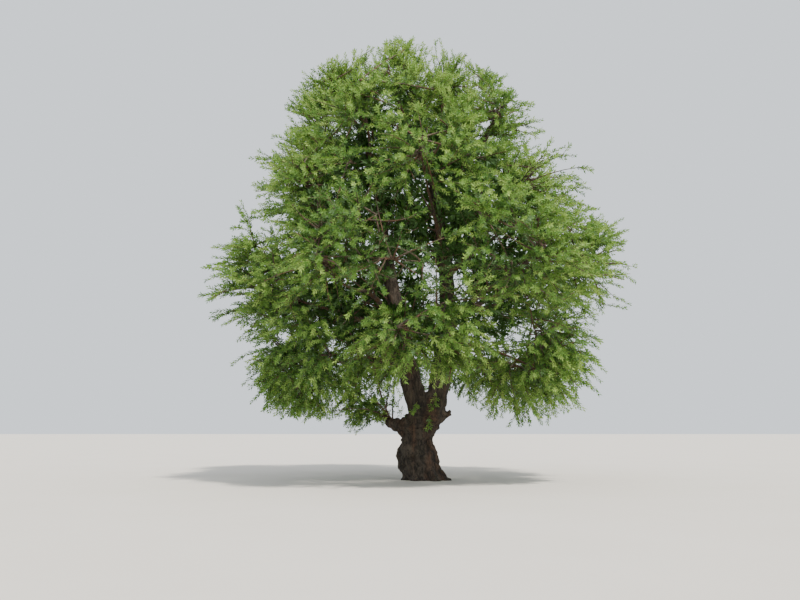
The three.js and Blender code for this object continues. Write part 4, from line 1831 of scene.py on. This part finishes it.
        # Painted shade under cover and in the hollows, painted light on the lit side, the foot and the top.
        darker, *depths = rule.covered
        bright = -darker * smooth(self.depth(origins), *depths) - rule.hollow * self.hollowness(origins)
        bright = bright + rule.lit * (unit(origins - CROWN_HEART) @ unit(np.array(rule.lit_from)))
        for weight, width, seed in rule.noises:
            bright = bright + weight * value_noise(origins / width, seed)
        foot, *foot_heights = rule.foot
        top, *top_heights = rule.top
        bright = bright + foot * (1.0 - smooth(origins[:, 2], *foot_heights))
        bright = bright + top * smooth(origins[:, 2], *top_heights)
        bright = bright + tones
        bright = bright + self.random.normal(0.0, rule.chance, len(origins))
        order = bright.argsort().argsort() / len(bright)
        return (order[:, None] < 1.0 - np.cumsum(rule.parts)).sum(axis=1)

    def grow_all(self) -> None:
        """Grows every mass's stem and branches, and the branches in the notches and along the limbs."""
        habit, notch_habit, limb_habit = self.mass_habit, self.notch_habit, self.limb_habit
        for mass in self.rule.masses:
            start, end = mass.entry - mass.heading * habit.stem_before, mass.stem_end()
            sway = self.random.normal(0.0, habit.stem_sway, 3) * mass.half[0]
            controls = [start, mix(start, end, 0.5) + sway, end]
            radii = (mass.entry_radius, habit.stem_thin)
            self.stems.append(curved_tubes(controls, radii, habit.stem_steps, habit.stem_sides))
            self.grow(self.mass_branches(mass))
        for notch in self.notches():
            stem = notch.stem(np.linspace(0.0, 1.0, notch_habit.stem_steps))
            radii = np.linspace(*notch_habit.stem_radii, notch_habit.stem_steps)
            self.stems.append(tubes(stem[None], radii[None], notch_habit.stem_sides))
            self.grow(self.notch_branches(notch))
        for limb in self.skeleton.boughs:
            self.grow(self.limb_branches(limb, limb_habit.bough_branches, limb_habit.bough_first))
        for limb in self.skeleton.leaders.values():
            self.grow(self.limb_branches(limb, limb_habit.leader_branches, limb_habit.leader_first))
        self.leaf_out()
        self.set_sprouts()

    def build(
        self, leaves: dict[Green, Material], twig: Material, shoot: Material
    ) -> None:
        """Grows the crown and makes the branches', shoots' and leaves' pieces.

        A spray's corner is its origin, plus its template's corner along the spray's axes times its size.

        Args:
            leaves: A material for each green.
            twig: The branches' material.
            shoot: The shoots' material.
        """
        self.grow_all()
        origins, axes, sizes, tones = [np.concatenate(each) for each in zip(*self.sprays)]
        nodes = [f"foliage_{mass.name}" for mass in self.rule.masses]
        finish_piece(Surface.joined(self.stems).mesh("branches"), twig, nodes)
        finish_piece(Surface.joined(self.twigs).mesh("shoots"), shoot, nodes)
        log.info("sprays: %d", len(origins))
        green = self.greens(origins, tones)
        form = self.form.template()
        for number, kind in enumerate(Green):
            chosen = green == number
            placed = np.einsum("pk,nkx->npx", form.points, axes[chosen]) * sizes[chosen][:, None, None]
            placed += origins[chosen][:, None]
            starts = len(form.points) * np.arange(chosen.sum())
            faces = form.faces[None] + starts[:, None, None]
            surface = Surface(placed.reshape(-1, 3), faces.reshape(-1, 3))
            mesh = surface.mesh(f"leaves_{kind.value}", is_smooth=False)
            finish_piece(mesh, leaves[kind], nodes)


class NodeSheet:
    """A short hand for building a node tree."""

    def __init__(self, tree: bpy.types.NodeTree) -> None:
        """Keeps the tree and empties it."""
        self.tree = tree
        tree.nodes.clear()

    @staticmethod
    def socket(node: bpy.types.Node, key: str) -> Socket:
        """The input that a key means: its name with _ for a space, or n and its number."""
        if key[0] == "n" and key[1:].isdigit():
            return node.inputs[int(key[1:])]
        return node.inputs[key.replace("_", " ")]

    def add(self, kind: str, **inputs: object) -> bpy.types.Node:
        """Adds a node.

        Args:
            kind: The node's type name, less what all of them start with.
            inputs: Values or sockets by input, and values by the name of a property of the node.

        Returns:
            The node.
        """
        node = self.tree.nodes.new(kind if kind.startswith("Node") else f"ShaderNode{kind}")
        settings = {key: value for key, value in inputs.items() if hasattr(node, key) and key.islower()}
        for key, value in settings.items():
            setattr(node, key, value)
        for key, value in inputs.items():
            if isinstance(value, Socket):
                self.tree.links.new(value, self.socket(node, key))
            elif key not in settings:
                self.socket(node, key).default_value = value
        return node

    def calc(self, operation: str, *values: object) -> Socket:
        """Adds a Math node on values or sockets, and gives its result's socket."""
        inputs = {f"n{place}": value for place, value in enumerate(values)}
        return self.add("Math", operation=operation, **inputs).outputs[0]

    def ramp(self, value: Socket, *ends: float, **settings: str) -> Socket:
        """Adds a Map Range node with its ends in order, and gives its result's socket."""
        inputs = {f"n{place + 1}": end for place, end in enumerate(ends)}
        return self.add("MapRange", Value=value, **inputs, **settings).outputs[0]

    def blend(self, share: Socket, low: object, high: object) -> Socket:
        """Adds a Mix node for two colours, and gives its result's socket."""
        return self.add("Mix", data_type="RGBA", n0=share, n6=low, n7=high).outputs[2]


def new_material(name: str) -> tuple[Material, NodeSheet]:
    """A new material and the sheet of its nodes."""
    made = bpy.data.materials.new(name)
    made.use_nodes = True
    return made, NodeSheet(made.node_tree)


def rgba(colour: int) -> tuple[float, float, float, float]:
    """A hexadecimal screen colour as a linear one: each channel to the power 2.2."""
    parts = ((colour >> 16) & 255, (colour >> 8) & 255, colour & 255)
    return tuple((part / 255.0) ** 2.2 for part in parts) + (1.0,)


@dataclass(frozen=True)
class BarkGrain:
    """The shader group that draws bark, in cells of its vector.

    A ridge has a noise's scale and its fissure's width. Tone, patch and roughness are ramps.
    """

    coarse: Pair = (0.55, 0.07)
    fine: Pair = (1.5, 0.09)
    parts: Triple = (0.55, 0.45, 0.35)
    distortion: float = 0.35
    fibre_scale: float = 5.0
    fibre_roughness: float = 0.7
    broad_scale: float = 0.16
    # Painted shade: how much darker the colour is where the furrow attribute marks furrows and pits.
    furrow_shade: float = -0.85
    tone: Pair = (0.15, 1.15)
    patch: Pair = (0.46, 0.6)
    roughness: tuple[float, float, float, float] = (0.3, 0.7, 0.98, 0.84)

    def ridges(self, sheet: NodeSheet, vector: Socket, scale: float, width: float) -> Socket:
        """Draws the ridges between a noise's fissures, which are where it passes its middle value.

        Args:
            sheet: The group's sheet.
            vector: The place.
            scale: The noise's scale.
            width: The fissures' width.

        Returns:
            The ridges' height, 0 in a fissure and 1 beyond its width.
        """
        noise = sheet.add("TexNoise", Vector=vector, Scale=scale, Detail=4.0, Distortion=self.distortion)
        away = sheet.calc("ABSOLUTE", sheet.calc("SUBTRACT", noise.outputs["Fac"], 0.5))
        return sheet.ramp(away, 0.0, width, interpolation_type="SMOOTHSTEP")

    def group(self) -> bpy.types.NodeTree:
        """Builds the group.

        Two kinds of fissures, one coarser than the other, leave ridges that fine fibres roughen. Colour
        goes from the crevice's to the plate's by all three, with warm patches of broad noise. The dark
        crevice colour is partly the fissures' own colour and partly painted shade, and the furrow darkens
        the colour further with painted shade.

        Returns:
            The group, with a vector, a furrow and three colours in, and a colour, roughness and height out.
        """
        group = bpy.data.node_groups.new("bark_grain", "ShaderNodeTree")
        inward = {"Vector": "Vector", "Furrow": "Float"}
        inward |= dict.fromkeys(("Plate", "Warm", "Crevice"), "Color")
        outward = {"Color": "Color", "Roughness": "Float", "Height": "Float"}
        for way, sockets in (("INPUT", inward), ("OUTPUT", outward)):
            for name, kind in sockets.items():
                group.interface.new_socket(name, in_out=way, socket_type=f"NodeSocket{kind}")
        sheet = NodeSheet(group)
        given = sheet.add("NodeGroupInput").outputs
        coarse = self.ridges(sheet, given["Vector"], *self.coarse)
        fine = self.ridges(sheet, given["Vector"], *self.fine)
        rough = {"Scale": self.fibre_scale, "Detail": 6.0, "Roughness": self.fibre_roughness}
        fibre = sheet.add("TexNoise", Vector=given["Vector"], **rough)
        broad = sheet.add("TexNoise", Vector=given["Vector"], Scale=self.broad_scale, Detail=3.0)
        coarse_part, fine_part, fibre_part = self.parts
        height = sheet.calc("MULTIPLY_ADD", coarse, coarse_part, sheet.calc("MULTIPLY", fine, fine_part))
        height = sheet.calc("MULTIPLY_ADD", fibre.outputs["Fac"], fibre_part, height)
        # Painted shade: the colour darkens in the trunk's furrows and pits.
        lit = sheet.calc("MULTIPLY_ADD", given["Furrow"], self.furrow_shade, 1.0)
        light = sheet.calc("MULTIPLY", sheet.ramp(height, *self.tone), lit)
        plate = sheet.blend(sheet.ramp(broad.outputs["Fac"], *self.patch), given["Plate"], given["Warm"])
        colour = sheet.blend(light, given["Crevice"], plate)
        rough = sheet.ramp(fibre.outputs["Fac"], *self.roughness)
        sheet.add("NodeGroupOutput", Color=colour, Roughness=rough, Height=height)
        return group


@dataclass(frozen=True)
class BarkFinish:
    """Bark: its plates' and crevices' colours, and how many plates there are to a metre round and along."""

    name: str
    plate: int
    warm: int
    crevice: int
    around: float
    along: float
    bump: float
    has_furrows: bool = False
    bump_strength: float = 0.7

    def material(self, group: bpy.types.NodeTree) -> Material:
        """Makes the material on object coordinates.

        Args:
            group: The group that draws bark.

        Returns:
            The material.
        """
        made, sheet = new_material(self.name)
        place, scale = sheet.add("TexCoord"), (self.around, self.around, self.along)
        inputs = {"Vector": sheet.add("Mapping", Vector=place.outputs["Object"], Scale=scale).outputs[0]}
        if self.has_furrows:
            inputs["Furrow"] = sheet.add("Attribute", attribute_name="furrow").outputs["Fac"]
        for name, colour in (("Plate", self.plate), ("Warm", self.warm), ("Crevice", self.crevice)):
            inputs[name] = rgba(colour)
        grain = sheet.add("Group", node_tree=group, **inputs).outputs
        bump = sheet.add("Bump", Strength=self.bump_strength, Distance=self.bump, Height=grain["Height"])
        looks = {"Base_Color": grain["Color"], "Roughness": grain["Roughness"], "Normal": bump.outputs[0]}
        sheet.add("OutputMaterial", Surface=sheet.add("BsdfPrincipled", **looks).outputs[0])
        return made


@dataclass(frozen=True)
class LeafFinish:
    """A leaf: its colour by reflected light, its colour with the light behind it, and its gloss."""

    green: Green
    front: int
    through: int
    roughness: float = 0.55
    gloss: float = 0.25
    share_through: float = 0.27

    def material(self) -> Material:
        """Makes the material: a Principled shader mixed with a Translucent one.

        Returns:
            The material.
        """
        made, sheet = new_material(f"leaf_{self.green.value}")
        looks = {"Roughness": self.roughness, "Specular_IOR_Level": self.gloss}
        face = sheet.add("BsdfPrincipled", Base_Color=rgba(self.front), **looks)
        back = sheet.add("BsdfTranslucent", Color=rgba(self.through))
        leaf = sheet.add("MixShader", n0=self.share_through, n1=face.outputs[0], n2=back.outputs[0])
        sheet.add("OutputMaterial", Surface=leaf.outputs[0])
        return made


@dataclass(frozen=True)
class ShootFinish:
    """The smooth skin of young shoots."""

    colour: int = 0x6B6238
    roughness: float = 0.7

    def material(self) -> Material:
        """Makes the material, in one plain colour."""
        made, sheet = new_material("young_shoots")
        skin = sheet.add("BsdfPrincipled", Base_Color=rgba(self.colour), Roughness=self.roughness)
        sheet.add("OutputMaterial", Surface=skin.outputs[0])
        return made


# The crevice colours are partly the fissures' own dark colour and partly painted shade.
OLD_BARK = BarkFinish("old_bark", 0x4A4238, 0x523F31, 0x15120F, 15.0, 3.0, 0.02, has_furrows=True)
LIMB_BARK = BarkFinish("limb_bark", 0x4E453B, 0x544133, 0x1A1511, 22.0, 5.0, 0.012)
BOUGH_BARK = BarkFinish("bough_bark", 0x6A5E50, 0x735541, 0x261F19, 34.0, 9.0, 0.006)
# Leaf greens from lightest to darkest: lit and shaded copies of one leaf, painted light and painted shade.
LEAVES = (
    LeafFinish(Green.SUNLIT_YOUNG, 0x93AF5E, 0xA2C452),
    LeafFinish(Green.SUNLIT, 0x80A054, 0x92B846),
    LeafFinish(Green.BRIGHT, 0x709148, 0x82AC3E),
    LeafFinish(Green.HALF_LIT, 0x628540, 0x729E34),
    LeafFinish(Green.HALF_SHADED, 0x55793B, 0x628E2C),
    LeafFinish(Green.GREYISH, 0x627E56, 0x6A883C),
    LeafFinish(Green.DEEP, 0x456435, 0x507824),
    LeafFinish(Green.SHADED, 0x38522A, 0x40641C),
)


@dataclass
class Studio:
    """The pale floor, the soft light and the camera at the photograph's place."""

    eye: Triple = (-0.711, -23.6, 1.55)
    pitch: float = 9.27
    lens: float = 35.0
    sensor: float = 36.0
    view_end: float = 1000.0
    floor_reach: float = 150.0
    floor_cells: int = 40
    floor_tints: tuple[int, int] = (0xCFC8BE, 0xD6D0C8)
    floor_cloud: float = 0.4
    floor_roughness: float = 0.95
    sun_from: Triple = (0.34, -0.52, 1.0)
    sun_colour: Triple = (1.0, 0.96, 0.88)
    sun_power: float = 5.4
    sun_spread: float = 4.0
    sky: tuple[float, float, float, float] = (0.88, 0.94, 1.0, 1.0)
    sky_power: float = 1.22

    def build(self) -> None:
        """Makes the floor, the lights and the camera."""
        self.lay_floor()
        self.hang_lights()
        self.set_camera()

    def lay_floor(self) -> None:
        """Lays a level, pale floor with faint unevenness in its colour."""
        count = self.floor_cells
        side = np.linspace(-self.floor_reach, self.floor_reach, count + 1)
        x, y = np.meshgrid(side, side)
        points = np.stack([x, y, np.zeros_like(x)], -1).reshape(-1, 3)
        row = np.arange(count)
        near = (row[:, None] * (count + 1) + row).ravel()
        far = near + count + 1
        halves = [np.stack([near, near + 1, far + 1], -1), np.stack([near, far + 1, far], -1)]
        made, sheet = new_material("pale_floor")
        place = sheet.add("TexCoord").outputs["Object"]
        cloud = sheet.add("TexNoise", Vector=place, Scale=self.floor_cloud, Detail=4.0).outputs["Fac"]
        tint = sheet.blend(cloud, *(rgba(tint) for tint in self.floor_tints))
        matt = sheet.add("BsdfPrincipled", Base_Color=tint, Roughness=self.floor_roughness)
        sheet.add("OutputMaterial", Surface=matt.outputs[0])
        floor = linked("floor", Surface(points, np.concatenate(halves)).mesh("floor", False))
        floor.data.materials.append(made)

    def hang_lights(self) -> None:
        """Hangs a soft sun over the right and a pale sky all round."""
        lamp = bpy.data.lights.new("sun", "SUN")
        lamp.energy = self.sun_power
        lamp.angle = math.radians(self.sun_spread)
        lamp.color = self.sun_colour
        linked("sun", lamp).rotation_euler = Vector(self.sun_from).to_track_quat("Z", "Y").to_euler()
        world = bpy.data.worlds.new("pale_sky")
        world.use_nodes = True
        sheet = NodeSheet(world.node_tree)
        glow = sheet.add("Background", Color=self.sky, Strength=self.sky_power)
        sheet.add("OutputWorld", Surface=glow.outputs[0])
        bpy.context.scene.world = world

    def set_camera(self) -> None:
        """Sets the camera at the viewer's eye, looking along +Y and up by the pitch."""
        lens = bpy.data.cameras.new("camera")
        lens.lens = self.lens
        lens.sensor_width = self.sensor
        lens.clip_end = self.view_end
        camera = linked("camera", lens)
        camera.location = self.eye
        camera.rotation_euler = (math.radians(90.0 + self.pitch), 0.0, 0.0)
        bpy.context.scene.camera = camera


def main() -> None:
    """Builds the tree in order, from the trunk to the leaves, and the studio round it."""
    group = BarkGrain().group()
    old_bark, limb_bark, bough_bark = (bark.material(group) for bark in (OLD_BARK, LIMB_BARK, BOUGH_BARK))
    rule = GrowthRule()
    skeleton = Skeleton(rule)
    Trunk(skeleton).build(old_bark)
    skeleton.build(limb_bark, bough_bark)
    leaves = {finish.green: finish.material() for finish in LEAVES}
    Crown(rule, skeleton).build(leaves, bough_bark, ShootFinish().material())
    Studio().build()


if __name__ == "__main__":
    logging.basicConfig(level=logging.INFO, format="%(message)s")
    main()
